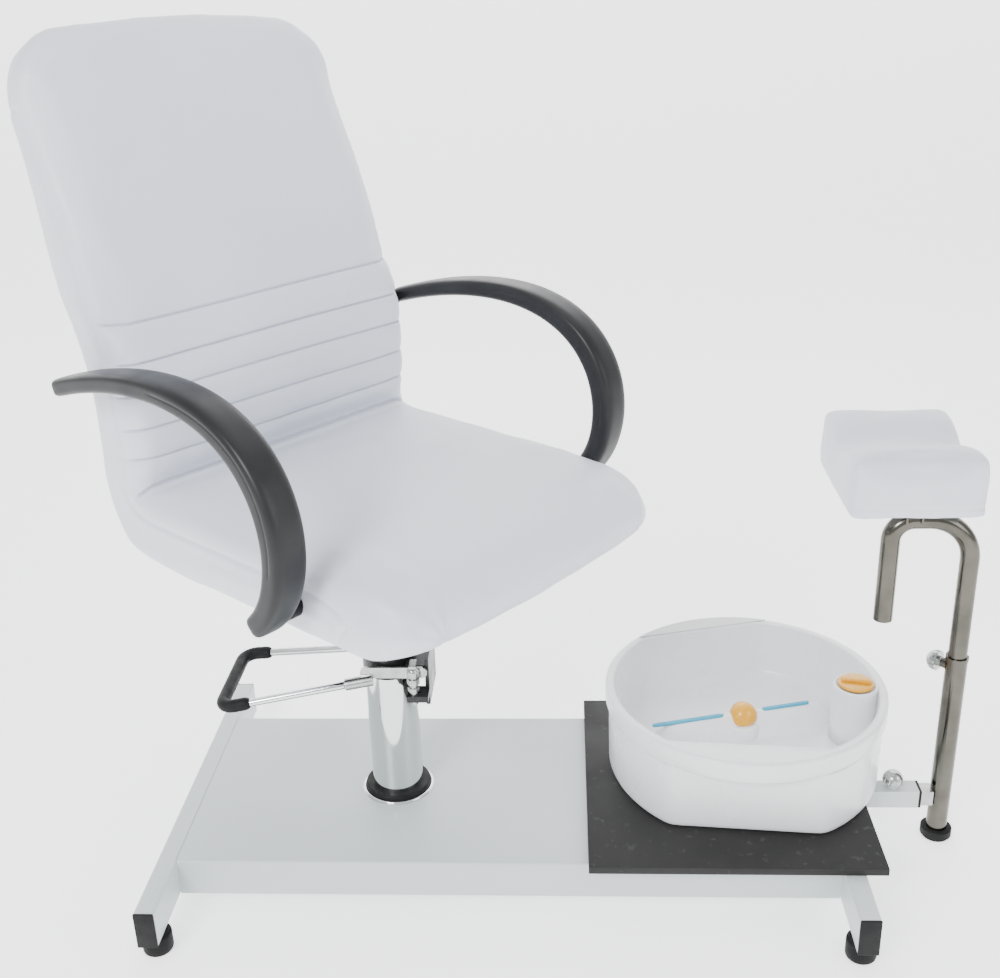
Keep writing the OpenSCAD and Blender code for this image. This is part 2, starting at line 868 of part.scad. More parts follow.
module arm_clamp_knob() {
    top = sleeve_arm_z + arm_sleeve_w / 2 + 5;
    color("silver") on_base() translate([sleeve_arm_x0 + arm_knob_x(), mid_y, top + 0.3])
        clamp_knob(top - sleeve_arm_z - inner_arm_w / 2 - 0.3);
}

module post_clamp_knob() {
    color("silver") translate([post_cx, post_cy, post_top - 14]) rotate(post_knob_turn)
        translate([-post_d / 2 - 7.3, 0, 0]) rotate([0, -90, 0])
            clamp_knob(7.3 + (post_d - tube_d) / 2 - 0.4);
}

// a ring on top of the lower post, which turns with the bent tube
module post_collar() {
    color("silver") translate([post_cx, post_cy, post_top + 0.2])
        ring(post_d / 2 + 1, tube_d / 2 + FIT, 6);
}

// ---------- bent tube and footrest ----------

// a quarter bend in the XZ plane: from the top of a leg at x = 0 over to x = -radius
module quarter_bend(radius, r) {
    translate([-radius, 0, 0]) rotate([90, 0, 0])
        rotate_extrude(angle = 90) translate([radius, 0]) circle(r = r, $fn = 48);
}

module tube_path(r, extra) {
    level_z = tube_z;
    translate([0, 0, tube_bottom - extra])
        cylinder(r = r, h = level_z - bend_r - tube_bottom + extra);
    translate([0, 0, level_z - bend_r]) quarter_bend(bend_r, r);
    translate([-tube_reach + bend_small, 0, level_z]) rotate([0, 90, 0])
        cylinder(r = r, h = tube_reach - bend_r - bend_small);
    translate([-tube_reach, 0, level_z - bend_small])
        mirror([1, 0, 0]) quarter_bend(bend_small, r);
    translate([-tube_reach, 0, free_leg_bottom - extra])
        cylinder(r = r, h = level_z - bend_small - free_leg_bottom + extra);
}

module upper_tube() {
    color("silver") translate([post_cx, post_cy, 0])
        difference() {
            tube_path(tube_d / 2, 0);
            tube_path(tube_d / 2 - tube_t, 1);
        }
}

module tube_plug() {
    color("black") translate([post_cx - tube_reach, post_cy, free_leg_bottom])
        cylinder(r = tube_d / 2 - tube_t, h = 15);
}

function footrest_screw_places() = [
    for (x = [-30, 30], y = [-50, 60]) [pad_x + x, pad_y + y]
];

// a flat plate on the level stretch of the tube, welded to it by two webs
module footrest_plate() {
    plate = 3;
    web_h = tube_d / 2;
    y0 = post_cy;
    color("dimgray")
        difference() {
            union() {
                translate([pad_x - 45, y0 - 20, pad_z - plate])
                    cube([90, pad_y + 80 - y0 + 20, plate]);
                for (x = [pad_x - 12, pad_x + 10])
                    translate([x, y0 - tube_d / 2 - 3, pad_z - plate - web_h])
                        cube([3, tube_d + 40, web_h]);
            }
            for (p = footrest_screw_places())
                translate([p[0], p[1], pad_z - 10]) cylinder(r = 2.6, h = 20, $fn = 24);
            translate([pad_x - 60, y0, tube_z]) rotate([0, 90, 0])
                cylinder(r = tube_d / 2, h = 120);
        }
}

module footrest_screws() {
    color("silver")
        for (p = footrest_screw_places())
            translate([p[0], p[1], pad_z - 6]) {
                cylinder(r = 5, h = 3, $fn = 24);
                cylinder(r = 2.5, h = 3 + 3 + 9, $fn = 24);
            }
}

module footrest_board() {
    color("tan")
        difference() {
            translate([pad_x - pad_w / 2 + 12, pad_y - pad_d / 2 + 12, pad_z])
                cube([pad_w - 24, pad_d - 24, pad_board_t]);
            for (p = footrest_screw_places())
                translate([p[0], p[1], pad_z - 1]) cylinder(r = 2.5, h = 10, $fn = 24);
        }
}

// a saddle: two humps at the front and the back, with a valley for the leg between them
module footrest_cushion() {
    hump = 34;
    half = pad_d / 2;
    valley_r = 130;
    valley_z = pad_z + pad_h - 22;
    color("whitesmoke")
        difference() {
            translate([pad_x - pad_w / 2, pad_y, 0]) rotate([90, 0, 90])
                linear_extrude(pad_w)
                    difference() {
                        hull() {
                            translate([-half, pad_z]) square([pad_d, 10]);
                            for (s = [-1, 1])
                                translate([s * (half - hump), pad_z + pad_h - hump])
                                    circle(r = hump, $fn = HULL_FN);
                        }
                        translate([0, valley_z + valley_r]) circle(r = valley_r);
                    }
            translate([pad_x - pad_w / 2 + 12 - EPS, pad_y - pad_d / 2 + 12 - EPS, pad_z - 1])
                cube([pad_w - 24 + 2 * EPS, pad_d - 24 + 2 * EPS, pad_board_t + 1]);
        }
}

// ---------- foot spa ----------

// a round outline with a flat front and, turned a little, a flat back
module spa_outline(r, flat, rear) {
    intersection() {
        circle(r = r, $fn = 96);
        translate([-r - 1, -flat]) square([2 * r + 2, 2 * r + flat]);
        rotate(strip_angle) translate([-r - 1, rear - 3 * r]) square([2 * r + 2, 3 * r]);
    }
}

module spa_slab(r, flat, rear, h) {
    linear_extrude(h) spa_outline(r, flat, rear);
}

module spa_housing() {
    z0 = spa_z0 + spa_foot;
    h = spa_z1 - rim_t - z0;
    color("whitesmoke") on_spa() translate([0, 0, z0])
        difference() {
            spa_slab(spa_r - 4, wall_flat, wall_rear, h);
            translate([0, 0, -1]) spa_slab(spa_r - 7, wall_flat - 3, wall_rear - 3, h + 2);
        }
}

// inner tub, rim and the skirt that laps over the housing
module spa_tub() {
    wall = 3;
    z1 = spa_z1;
    color("whitesmoke") on_spa()
        difference() {
            union() {
                translate([0, 0, z1 - skirt_h]) cylinder(r = spa_r, h = skirt_h, $fn = 96);
                translate([0, 0, tub_floor - wall])
                    spa_slab(tub_r + wall, tub_flat + wall, tub_rear + wall, z1 - tub_floor + wall);
            }
            difference() {
                translate([0, 0, z1 - skirt_h - 1])
                    cylinder(r = spa_r - 3, h = skirt_h - rim_t + 1, $fn = 96);
                translate([0, 0, z1 - skirt_h - 2])
                    spa_slab(tub_r + wall, tub_flat + wall, tub_rear + wall, skirt_h + 2);
            }
            difference() {
                translate([0, 0, tub_floor]) spa_slab(tub_r, tub_flat, tub_rear, spa_h);
                translate([knob_place[0], knob_place[1], tub_floor - 1])
                    cylinder(r = knob_r + 6, h = z1 - tub_floor + 1);
            }
            translate([knob_place[0], knob_place[1], z1 - 10]) cylinder(r = 5 + FIT, h = 20);
        }
}

module spa_base() {
    color("whitesmoke") on_spa() translate([0, 0, spa_z0 + spa_foot])
        spa_slab(spa_r - 7 - 0.1, wall_flat - 3 - 0.1, wall_rear - 3 - 0.1, 3);
}

module spa_feet() {
    color("dimgray") on_spa()
        for (x = [-130, 130], y = [-120, 120])
            translate([x, y, spa_z0]) cylinder(r = 14, h = spa_foot, $fn = 32);
}

module heater_plate() {
    color("silver") on_spa() translate([0, 0, tub_floor - 3 - 4])
        ring(90, 60, 4);
}

module air_pump() {
    color("dimgray") on_spa() translate([-60, 90, spa_z0 + spa_foot + 3]) {
        cylinder(r = 14, h = 28);
        translate([0, -11, 0]) cube([60, 22, 22]);
    }
}

module bubble_ridge() {
    color("whitesmoke") on_spa() rotate(strip_angle)
        for (s = strip_spans)
            translate([s[0], -9, tub_floor]) cube([s[1] - s[0], 18, ridge_h]);
}

module bubble_strips() {
    color("skyblue") on_spa() rotate(strip_angle)
        for (s = strip_spans)
            translate([s[0], -5, tub_floor + ridge_h]) cube([s[1] - s[0], 10, 3]);
}

module massage_base() {
    color("whitesmoke") on_spa() translate([0, 0, tub_floor]) {
        cylinder(r = 27, h = head_base_h - 8);
        translate([0, 0, head_base_h - 8]) cylinder(r1 = 27, r2 = 22, h = 8);
        cylinder(r = 6, h = head_base_h + 12);
    }
}

module massage_head() {
    z = tub_floor + head_base_h + 0.3;
    color("orange") on_spa() translate([0, 0, z])
        difference() {
            intersection() {
                union() {
                    cylinder(r = 22, h = 8);
                    translate([0, 0, 8]) sphere(r = 22);
                }
                cylinder(r = 40, h = 30);
            }
            translate([0, 0, -10]) cylinder(r = 6 + FIT, h = 10 + 12.5);
        }
}

module control_knob() {
    grip_w = 9;
    color("orange") on_spa() translate([knob_place[0], knob_place[1], spa_z1 + 0.3]) {
        translate([0, 0, -9]) cylinder(r = 5, h = 10);
        cylinder(r = knob_r, h = 5);
        translate([-knob_r + 4, -grip_w / 2, 5]) cube([2 * knob_r - 8, grip_w, 6]);
    }
}

// a grey insert on the rear ledge, between the tub's flat back and the rim
module spa_rear_grip() {
    color("silver") on_spa() translate([0, 0, spa_z1])
        linear_extrude(2)
            difference() {
                circle(r = spa_r - 5, $fn = 96);
                rotate(strip_angle) translate([-spa_r, tub_rear + 5 - 2 * spa_r])
                    square([2 * spa_r, 2 * spa_r]);
            }
}

rail_left();
rail_right();
platform();
rail_end_caps();
base_feet();
arm_sleeve();
arm_sleeve_bush();
column_plate();
column_bolts();
column_flange();
column_trim_ring();
column_sleeve();
guide_bush();
spa_board();
board_screws();
piston();
pump_head();
lever_pin();
thrust_washer();
lever_arms();
lever_rod();
lever_grip();
pump_plunger();
swivel_post();
seat_plate();
seat_beams();
beam_screws();
seat_board();
back_board();
back_irons();
seat_cushion();
back_cushion();
arm_right();
arm_left();
arm_spacers();
arm_bolts();
inner_arm();
lower_post();
post_foot();
arm_clamp_knob();
post_clamp_knob();
post_collar();
upper_tube();
tube_plug();
footrest_plate();
footrest_screws();
footrest_board();
footrest_cushion();
spa_housing();
spa_tub();
spa_base();
spa_feet();
heater_plate();
air_pump();
bubble_ridge();
bubble_strips();
massage_base();
massage_head();
control_knob();
spa_rear_grip();
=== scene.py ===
"""Pedicure spa chair: the visible surfaces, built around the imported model. Metres, +Z up."""
import math
import bpy
import bmesh
import numpy as np
from mathutils import Vector, Matrix


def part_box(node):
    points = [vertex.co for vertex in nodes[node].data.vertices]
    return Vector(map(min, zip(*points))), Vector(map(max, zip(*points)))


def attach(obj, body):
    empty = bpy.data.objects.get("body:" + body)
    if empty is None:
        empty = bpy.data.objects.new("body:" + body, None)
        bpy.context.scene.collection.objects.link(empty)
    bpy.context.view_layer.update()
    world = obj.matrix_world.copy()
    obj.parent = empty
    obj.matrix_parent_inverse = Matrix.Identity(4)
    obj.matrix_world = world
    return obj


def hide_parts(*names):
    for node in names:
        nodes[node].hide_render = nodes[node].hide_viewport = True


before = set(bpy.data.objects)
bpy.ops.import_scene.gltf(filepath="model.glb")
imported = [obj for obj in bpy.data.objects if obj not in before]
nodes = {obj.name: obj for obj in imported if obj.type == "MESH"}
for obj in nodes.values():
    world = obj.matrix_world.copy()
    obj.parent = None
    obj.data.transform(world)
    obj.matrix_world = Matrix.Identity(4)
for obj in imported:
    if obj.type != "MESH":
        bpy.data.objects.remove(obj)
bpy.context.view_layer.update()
MM = 0.001
WORLD_LIGHT = 1.05
FLOOR_GLOW = 1.35


def middle(node):
    low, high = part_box(node)
    return (low + high) / 2


column = middle("column_sleeve")
spa_middle = middle("spa_tub")
CHAIR_TURN = math.radians(-38.5)
SPA_TURN = math.radians(-5.0)
CHAIR = Matrix.Translation((column.x, column.y, 0)) @ Matrix.Rotation(CHAIR_TURN, 4, "Z")
SPA = Matrix.Translation((spa_middle.x, spa_middle.y, 0)) @ Matrix.Rotation(SPA_TURN, 4, "Z")


# ---------------------------------------------------------------- camera and light

def aim(obj, where, forward, roll=0.0):
    forward = forward.normalized()
    right = forward.cross(Vector((0, 0, 1))).normalized()
    up = right.cross(forward)
    c, s = math.cos(roll), math.sin(roll)
    right, up = right * c + up * s, up * c - right * s
    m = Matrix((right, up, -forward)).transposed().to_4x4()
    m.translation = where
    obj.matrix_world = m


def add_camera():
    data = bpy.data.cameras.new("camera")
    data.sensor_width = 36.0
    data.lens = 44.45
    data.clip_end = 30.0
    cam = bpy.data.objects.new("camera", data)
    bpy.context.scene.collection.objects.link(cam)
    yaw, pitch = math.radians(-3.321), math.radians(22.319)
    forward = Vector((math.sin(yaw) * math.cos(pitch), math.cos(yaw) * math.cos(pitch),
                      -math.sin(pitch)))
    aim(cam, Vector((0.0693, -1.6926, 1.2899)), forward, math.radians(-1.814))
    bpy.context.scene.camera = cam


def area_light(name, where, target, size, power, colour=(1, 1, 1)):
    data = bpy.data.lights.new(name, "AREA")
    data.shape = "RECTANGLE"
    data.size, data.size_y = size
    data.energy = power
    data.color = colour
    obj = bpy.data.objects.new(name, data)
    bpy.context.scene.collection.objects.link(obj)
    aim(obj, Vector(where), Vector(target) - Vector(where))


def add_studio():
    # a pale sweep: floor, a wide curve, and a wall behind
    profile = [(-9.0, 0.0), (2.6, 0.0)]
    for k in range(1, 17):
        a = math.pi / 2 * k / 16
        profile.append((2.6 + 1.4 * math.sin(a), 1.4 - 1.4 * math.cos(a)))
    profile.append((4.0, 6.0))
    verts = [(x, y, z) for x in (-9.0, 9.0) for y, z in profile]
    n = len(profile)
    faces = [(i, n + i, n + i + 1, i + 1) for i in range(n - 1)]
    mat = material("floor", (0.93, 0.93, 0.93), 0.8, grain=((40, 0.02, 0.0002),))
    shader = mat.node_tree.nodes["Principled BSDF"]
    shader.inputs["Emission Color"].default_value = (1, 1, 1, 1)
    shader.inputs["Emission Strength"].default_value = FLOOR_GLOW
    floor = make_object("floor", verts, faces, mat)
    world = bpy.data.worlds.new("studio")
    world.use_nodes = True
    background = world.node_tree.nodes["Background"]
    background.inputs["Color"].default_value = (0.97, 0.985, 1.0, 1)
    background.inputs["Strength"].default_value = WORLD_LIGHT
    bpy.context.scene.world = world
    area_light("key", (-1.5, -3.0, 2.6), (-0.1, 0, 0.5), (1.2, 1.2), 130)
    area_light("fill", (2.8, -1.6, 1.7), (0, 0, 0.5), (1.4, 1.8), 34, (0.97, 0.985, 1))
    area_light("top", (0.1, 0.3, 3.2), (0, 0, 0.4), (2.4, 2.4), 26)
    area_light("back", (0.2, 2.2, 2.2), (0, 0, 0.6), (2.0, 1.2), 16)


# ---------------------------------------------------------------- materials

def material(name, colour, rough, metallic=0.0, grain=(), cells=None, tint=None, wear=None,
             rough_range=None, coat=0.0, coat_rough=0.1, ior=1.5, sheen=0.0, specular=0.5,
             brushed=None):
    """A node material. grain: (scale, strength, distance) noise bumps; cells: the same with
    Voronoi cells; tint: (scale, second colour, amount); wear: (second colour, amount) on fine
    speckles; brushed: (axis, scale, strength) drawn lines."""
    mat = bpy.data.materials.new(name)
    mat.use_nodes = True
    tree = mat.node_tree
    shader = tree.nodes["Principled BSDF"]
    link = tree.links.new
    shader.inputs["Base Color"].default_value = (*colour, 1)
    shader.inputs["Roughness"].default_value = rough
    shader.inputs["Metallic"].default_value = metallic
    shader.inputs["IOR"].default_value = ior
    shader.inputs["Specular IOR Level"].default_value = specular
    shader.inputs["Coat Weight"].default_value = coat
    shader.inputs["Coat Roughness"].default_value = coat_rough
    shader.inputs["Sheen Weight"].default_value = sheen
    coords = tree.nodes.new("ShaderNodeTexCoord").outputs["Object"]

    def noise(scale, detail=4.0, source=coords):
        n = tree.nodes.new("ShaderNodeTexNoise")
        n.inputs["Scale"].default_value = scale
        n.inputs["Detail"].default_value = detail
        link(source, n.inputs["Vector"])
        return n.outputs["Fac"]

    def mapped(value, low, high, to_low, to_high):
        n = tree.nodes.new("ShaderNodeMapRange")
        for k, v in zip(("From Min", "From Max", "To Min", "To Max"),
                        (low, high, to_low, to_high)):
            n.inputs[k].default_value = v
        link(value, n.inputs["Value"])
        return n.outputs["Result"]

    def mixed(factor, a, b):
        n = tree.nodes.new("ShaderNodeMix")
        n.data_type = "RGBA"
        link(factor, n.inputs[0])
        for k, v in ((6, a), (7, b)):
            if isinstance(v, tuple):
                n.inputs[k].default_value = (*v, 1)
            else:
                link(v, n.inputs[k])
        return n.outputs[2]

    base = colour
    if tint:
        base = mixed(mapped(noise(tint[0]), 0.35, 0.65, 0, tint[2]), base, tint[1])
    if wear:
        base = mixed(mapped(noise(wear[2], 8.0), 0.62, 0.72, 0, wear[1]), base, wear[0])
    if base is not colour:
        link(base, shader.inputs["Base Color"])
    if rough_range:
        link(mapped(noise(rough_range[0], 6.0), 0.3, 0.7, rough_range[1], rough_range[2]),
             shader.inputs["Roughness"])
    bumps = []
    for scale, strength, distance in grain:
        bumps.append((noise(scale, 5.0), strength, distance))
    if cells:
        v = tree.nodes.new("ShaderNodeTexVoronoi")
        v.feature = "SMOOTH_F1"
        v.inputs["Scale"].default_value = cells[0]
        link(coords, v.inputs["Vector"])
        bumps.append((v.outputs["Distance"], cells[1], cells[2]))
    if brushed:
        stretch = tree.nodes.new("ShaderNodeMapping")
        stretch.inputs["Scale"].default_value = [1.0 if a == brushed[0] else brushed[1]
                                                 for a in "XYZ"]
        link(coords, stretch.inputs["Vector"])
        bumps.append((noise(1.0, 3.0, stretch.outputs["Vector"]), brushed[2], 0.0003))
    normal = None
    for height, strength, distance in bumps:
        b = tree.nodes.new("ShaderNodeBump")
        b.inputs["Strength"].default_value = strength
        b.inputs["Distance"].default_value = distance
        link(height, b.inputs["Height"])
        if normal:
            link(normal, b.inputs["Normal"])
        normal = b.outputs["Normal"]
    if normal:
        link(normal, shader.inputs["Normal"])
    return mat


def make_materials():
    return {
        "leatherette": material(
            "leatherette", (0.60, 0.625, 0.70), 0.42, tint=(5.0, (0.635, 0.66, 0.73), 0.9),
            cells=(850, 0.22, 0.00025), grain=((60, 0.10, 0.0006), (9, 0.10, 0.004)),
            rough_range=(14, 0.36, 0.50), specular=0.45, sheen=0.05),
        "powder": material(
            "powder_coat", (0.50, 0.545, 0.55), 0.34, tint=(3.0, (0.53, 0.575, 0.575), 0.8),
            grain=((700, 0.10, 0.0002), (45, 0.03, 0.0006)), rough_range=(30, 0.32, 0.44),
            wear=((0.56, 0.58, 0.59), 0.25, 160)),
        "chrome": material(
            "chrome", (0.72, 0.74, 0.73), 0.07, metallic=1.0, rough_range=(25, 0.05, 0.12),
            tint=(8, (0.66, 0.68, 0.67), 0.6), grain=((30, 0.02, 0.0005),)),
        "nickel": material(
            "nickel_tube", (0.115, 0.110, 0.093), 0.14, metallic=1.0, rough_range=(35, 0.12, 0.24),
            tint=(22, (0.080, 0.077, 0.064), 0.8), brushed=("Z", 900.0, 0.10)),
        "zinc": material(
            "zinc_steel", (0.44, 0.45, 0.44), 0.24, metallic=1.0, rough_range=(90, 0.16, 0.34),
            tint=(60, (0.33, 0.34, 0.33), 0.8), grain=((400, 0.08, 0.0002),)),
        "black_metal": material(
            "black_paint", (0.014, 0.0145, 0.015), 0.3, specular=0.3, grain=((600, 0.10, 0.0002),),
            rough_range=(40, 0.22, 0.40), wear=((0.08, 0.08, 0.08), 0.35, 220)),
        "arm_plastic": material(
            "arm_plastic", (0.013, 0.0135, 0.015), 0.36, specular=0.2, cells=(1300, 0.10, 0.00012),
            grain=((35, 0.03, 0.0005),), rough_range=(18, 0.30, 0.42),
            tint=(12, (0.019, 0.0195, 0.021), 0.8)),
        "black_plastic": material(
            "black_plastic", (0.010, 0.010, 0.0105), 0.45, specular=0.12,
            cells=(1500, 0.15, 0.00012), rough_range=(50, 0.38, 0.55),
            tint=(40, (0.016, 0.016, 0.0165), 0.8)),
        "rubber": material(
            "rubber", (0.009, 0.009, 0.0095), 0.6, specular=0.12, grain=((500, 0.2, 0.00015),),
            rough_range=(60, 0.5, 0.72), tint=(30, (0.016, 0.016, 0.016), 0.7)),
        "grip": material(
            "grip_rubber", (0.009, 0.009, 0.0095), 0.5, specular=0.12, cells=(900, 0.25, 0.0002),
            rough_range=(60, 0.42, 0.6), tint=(50, (0.014, 0.014, 0.0145), 0.8)),
        "board": material(
            "board", (0.020, 0.0195, 0.0195), 0.55, specular=0.12,
            grain=((900, 0.18, 0.0002), (12, 0.03, 0.001)),
            rough_range=(9, 0.45, 0.66), tint=(6, (0.030, 0.0295, 0.0295), 0.8),
            wear=((0.085, 0.085, 0.085), 0.35, 90)),
        "spa": material(
            "spa_plastic", (0.80, 0.805, 0.825), 0.24, tint=(4, (0.82, 0.825, 0.845), 0.8),
            grain=((18, 0.03, 0.0012), (900, 0.03, 0.0001)), rough_range=(12, 0.2, 0.32),
            coat=0.15, coat_rough=0.12),
        # painted shade: a darker grey for the tub's rear ledge insert, standing in for the shade
        # that falls on the rear ledge
        "rear_ledge_painted_shade": material(
            "rear_ledge_painted_shade", (0.60, 0.605, 0.61), 0.4, cells=(1200, 0.1, 0.0001),
            rough_range=(20, 0.34, 0.46), tint=(10, (0.64, 0.645, 0.65), 0.8)),
        "orange": material(
            "orange_plastic", (0.72, 0.33, 0.001), 0.3, tint=(45, (0.74, 0.37, 0.002), 0.9),
            grain=((60, 0.05, 0.0005),), rough_range=(50, 0.22, 0.36), coat=0.2),
        "blue": material(
            "blue_plastic", (0.010, 0.27, 0.42), 0.38, tint=(60, (0.02, 0.31, 0.46), 0.9),
            grain=((300, 0.1, 0.0002),), rough_range=(80, 0.32, 0.45)),
        "plywood": material(
            "plywood", (0.48, 0.34, 0.20), 0.6, tint=(8, (0.58, 0.43, 0.27), 0.9),
            brushed=("X", 260.0, 0.25), rough_range=(20, 0.5, 0.7))
    }


# ---------------------------------------------------------------- mesh helpers

def shade(mesh, smooth=True):
    mesh.polygons.foreach_set("use_smooth", [smooth] * len(mesh.polygons))


def read_points(source, attribute):
    """A vector attribute of a mesh's points, one row for each."""
    flat = np.zeros(len(source) * 3)
    source.foreach_get(attribute, flat)
    return flat.reshape(-1, 3)


def make_object(name, verts, faces, mat, place=None, smooth=True):
    mesh = bpy.data.meshes.new(name)
    mesh.from_pydata([tuple(v) for v in verts], [], [tuple(f) for f in faces])
    if place is not None:
        mesh.transform(place)
    bm = bmesh.new()
    bm.from_mesh(mesh)
    bmesh.ops.recalc_face_normals(bm, faces=bm.faces)
    bm.to_mesh(mesh)
    bm.free()
    shade(mesh, smooth)
    mesh.update()
    obj = bpy.data.objects.new(name, mesh)
    bpy.context.scene.collection.objects.link(obj)
    obj.data.materials.append(mat)
    return obj


def hand_in(obj, slot, body, *replaced):
    """Attaches a piece to its body, and hides the CAD nodes that it stands for. The slot is not
    used.
    """
    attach(obj, body)
    if replaced:
        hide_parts(*replaced)


def subdivide(obj, levels):
    mod = obj.modifiers.new("subdivision", "SUBSURF")
    mod.levels = mod.render_levels = levels
    apply_modifiers(obj)


def apply_modifiers(obj):
    depsgraph = bpy.context.evaluated_depsgraph_get()
    mesh = bpy.data.meshes.new_from_object(obj.evaluated_get(depsgraph),
                                           preserve_all_data_layers=True, depsgraph=depsgraph)
    obj.modifiers.clear()
    old = obj.data
    obj.data = mesh
    bpy.data.meshes.remove(old)
    shade(mesh)


def loft(rings, close_ends=True, wrap=False):
    """Faces between rings of equal length; every ring is a closed loop of points."""
    verts = [p for ring in rings for p in ring]
    n = len(rings[0])
    count = len(rings)
    faces = []
    for i in range(count if wrap else count - 1):
        a, b = i * n, ((i + 1) % count) * n
        for j in range(n):
            k = (j + 1) % n
            faces.append((a + j, a + k, b + k, b + j))
    if close_ends and not wrap:
        faces.append(tuple(range(n - 1, -1, -1)))
        faces.append(tuple(range((count - 1) * n, count * n)))
    return verts, faces


def lathe(profile, segments=64, lobes=None):
    """Rings for a turned shape; profile is (radius, height) from the bottom up, in metres."""
    rings = []
    for r, z in profile:
        ring = []
        for j in range(segments):
            a = 2 * math.pi * j / segments
            k = lobes(a, z) if lobes else 1.0
            ring.append((r * k * math.cos(a), r * k * math.sin(a), z))
        rings.append(ring)
    return rings


def catmull(points, spacing, closed=False):
    """A smooth line through the points, resampled at about even spacing."""
    pts = [np.array(p, float) for p in points]
    n = len(pts)
    fine = []
    for i in range(n if closed else n - 1):
        if closed:
            p0, p1, p2, p3 = pts[i - 1], pts[i], pts[(i + 1) % n], pts[(i + 2) % n]
        else:
            p1, p2 = pts[i], pts[i + 1]
            p0 = pts[i - 1] if i else 2 * p1 - p2
            p3 = pts[i + 2] if i + 2 < n else 2 * p2 - p1
        # centripetal form, so that uneven spacing makes no loops
        t0 = 0.0
        t1 = t0 + max(np.linalg.norm(p1 - p0), 1e-9) ** 0.5
        t2 = t1 + max(np.linalg.norm(p2 - p1), 1e-9) ** 0.5
        t3 = t2 + max(np.linalg.norm(p3 - p2), 1e-9) ** 0.5
        for s in range(16):
            t = t1 + (t2 - t1) * s / 16
            a1 = (t1 - t) / (t1 - t0) * p0 + (t - t0) / (t1 - t0) * p1
            a2 = (t2 - t) / (t2 - t1) * p1 + (t - t1) / (t2 - t1) * p2
            a3 = (t3 - t) / (t3 - t2) * p2 + (t - t2) / (t3 - t2) * p3
            b1 = (t2 - t) / (t2 - t0) * a1 + (t - t0) / (t2 - t0) * a2
            b2 = (t3 - t) / (t3 - t1) * a2 + (t - t1) / (t3 - t1) * a3
            fine.append((t2 - t) / (t2 - t1) * b1 + (t - t1) / (t2 - t1) * b2)
    fine.append(fine[0] if closed else pts[-1])
    fine = np.array(fine)
    step = np.linalg.norm(np.diff(fine, axis=0), axis=1)
    along = np.concatenate([[0], np.cumsum(step)])
    count = max(4, int(round(along[-1] / spacing)))
    want = np.linspace(0, along[-1], count + 1)
    out = np.stack([np.interp(want, along, fine[:, k]) for k in range(fine.shape[1])], axis=1)
    return out[:-1] if closed else out


def box_mesh(low, high, radius, segments=3):
    """A bevelled block as vertices and faces."""
    bm = bmesh.new()
    bmesh.ops.create_cube(bm, size=1.0)
    size = Vector(high) - Vector(low)
    centre = (Vector(high) + Vector(low)) / 2
    for v in bm.verts:
        v.co = Vector((v.co.x * size.x, v.co.y * size.y, v.co.z * size.z)) + centre
    bmesh.ops.bevel(bm, geom=bm.edges[:], offset=radius, segments=segments, profile=0.5,
                    affect="EDGES")
    verts = [tuple(v.co) for v in bm.verts]
    bm.verts.index_update()
    faces = [tuple(v.index for v in f.verts) for f in bm.faces]
    bm.free()
    return verts, faces


def tube(line, radius, segments=24, radii=None):
    """Rings along a line in space, each square to it."""
    line = np.array(line, float)
    n = len(line)
    tangents = np.gradient(line, axis=0)
    tangents /= np.linalg.norm(tangents, axis=1)[:, None]
    side = np.cross(tangents[0], [0, 0, 1.0])
    if np.linalg.norm(side) < 1e-3:
        side = np.cross(tangents[0], [0, 1.0, 0])
    side /= np.linalg.norm(side)
    rings = []
    for i in range(n):
        side = side - tangents[i] * side.dot(tangents[i])
        side /= np.linalg.norm(side)
        up = np.cross(side, tangents[i])
        r = radii[i] if radii is not None else radius
        rings.append([tuple(line[i] + r * (math.cos(2 * math.pi * j / segments) * side
                                           + math.sin(2 * math.pi * j / segments) * up))
                      for j in range(segments)])
    return rings


def join_parts(parts):
    """One vertex and face list from several."""
    verts, faces = [], []
    for v, f in parts:
        base = len(verts)
        verts += list(v)
        faces += [tuple(i + base for i in face) for face in f]
    return verts, faces


# ---------------------------------------------------------------- padded pieces

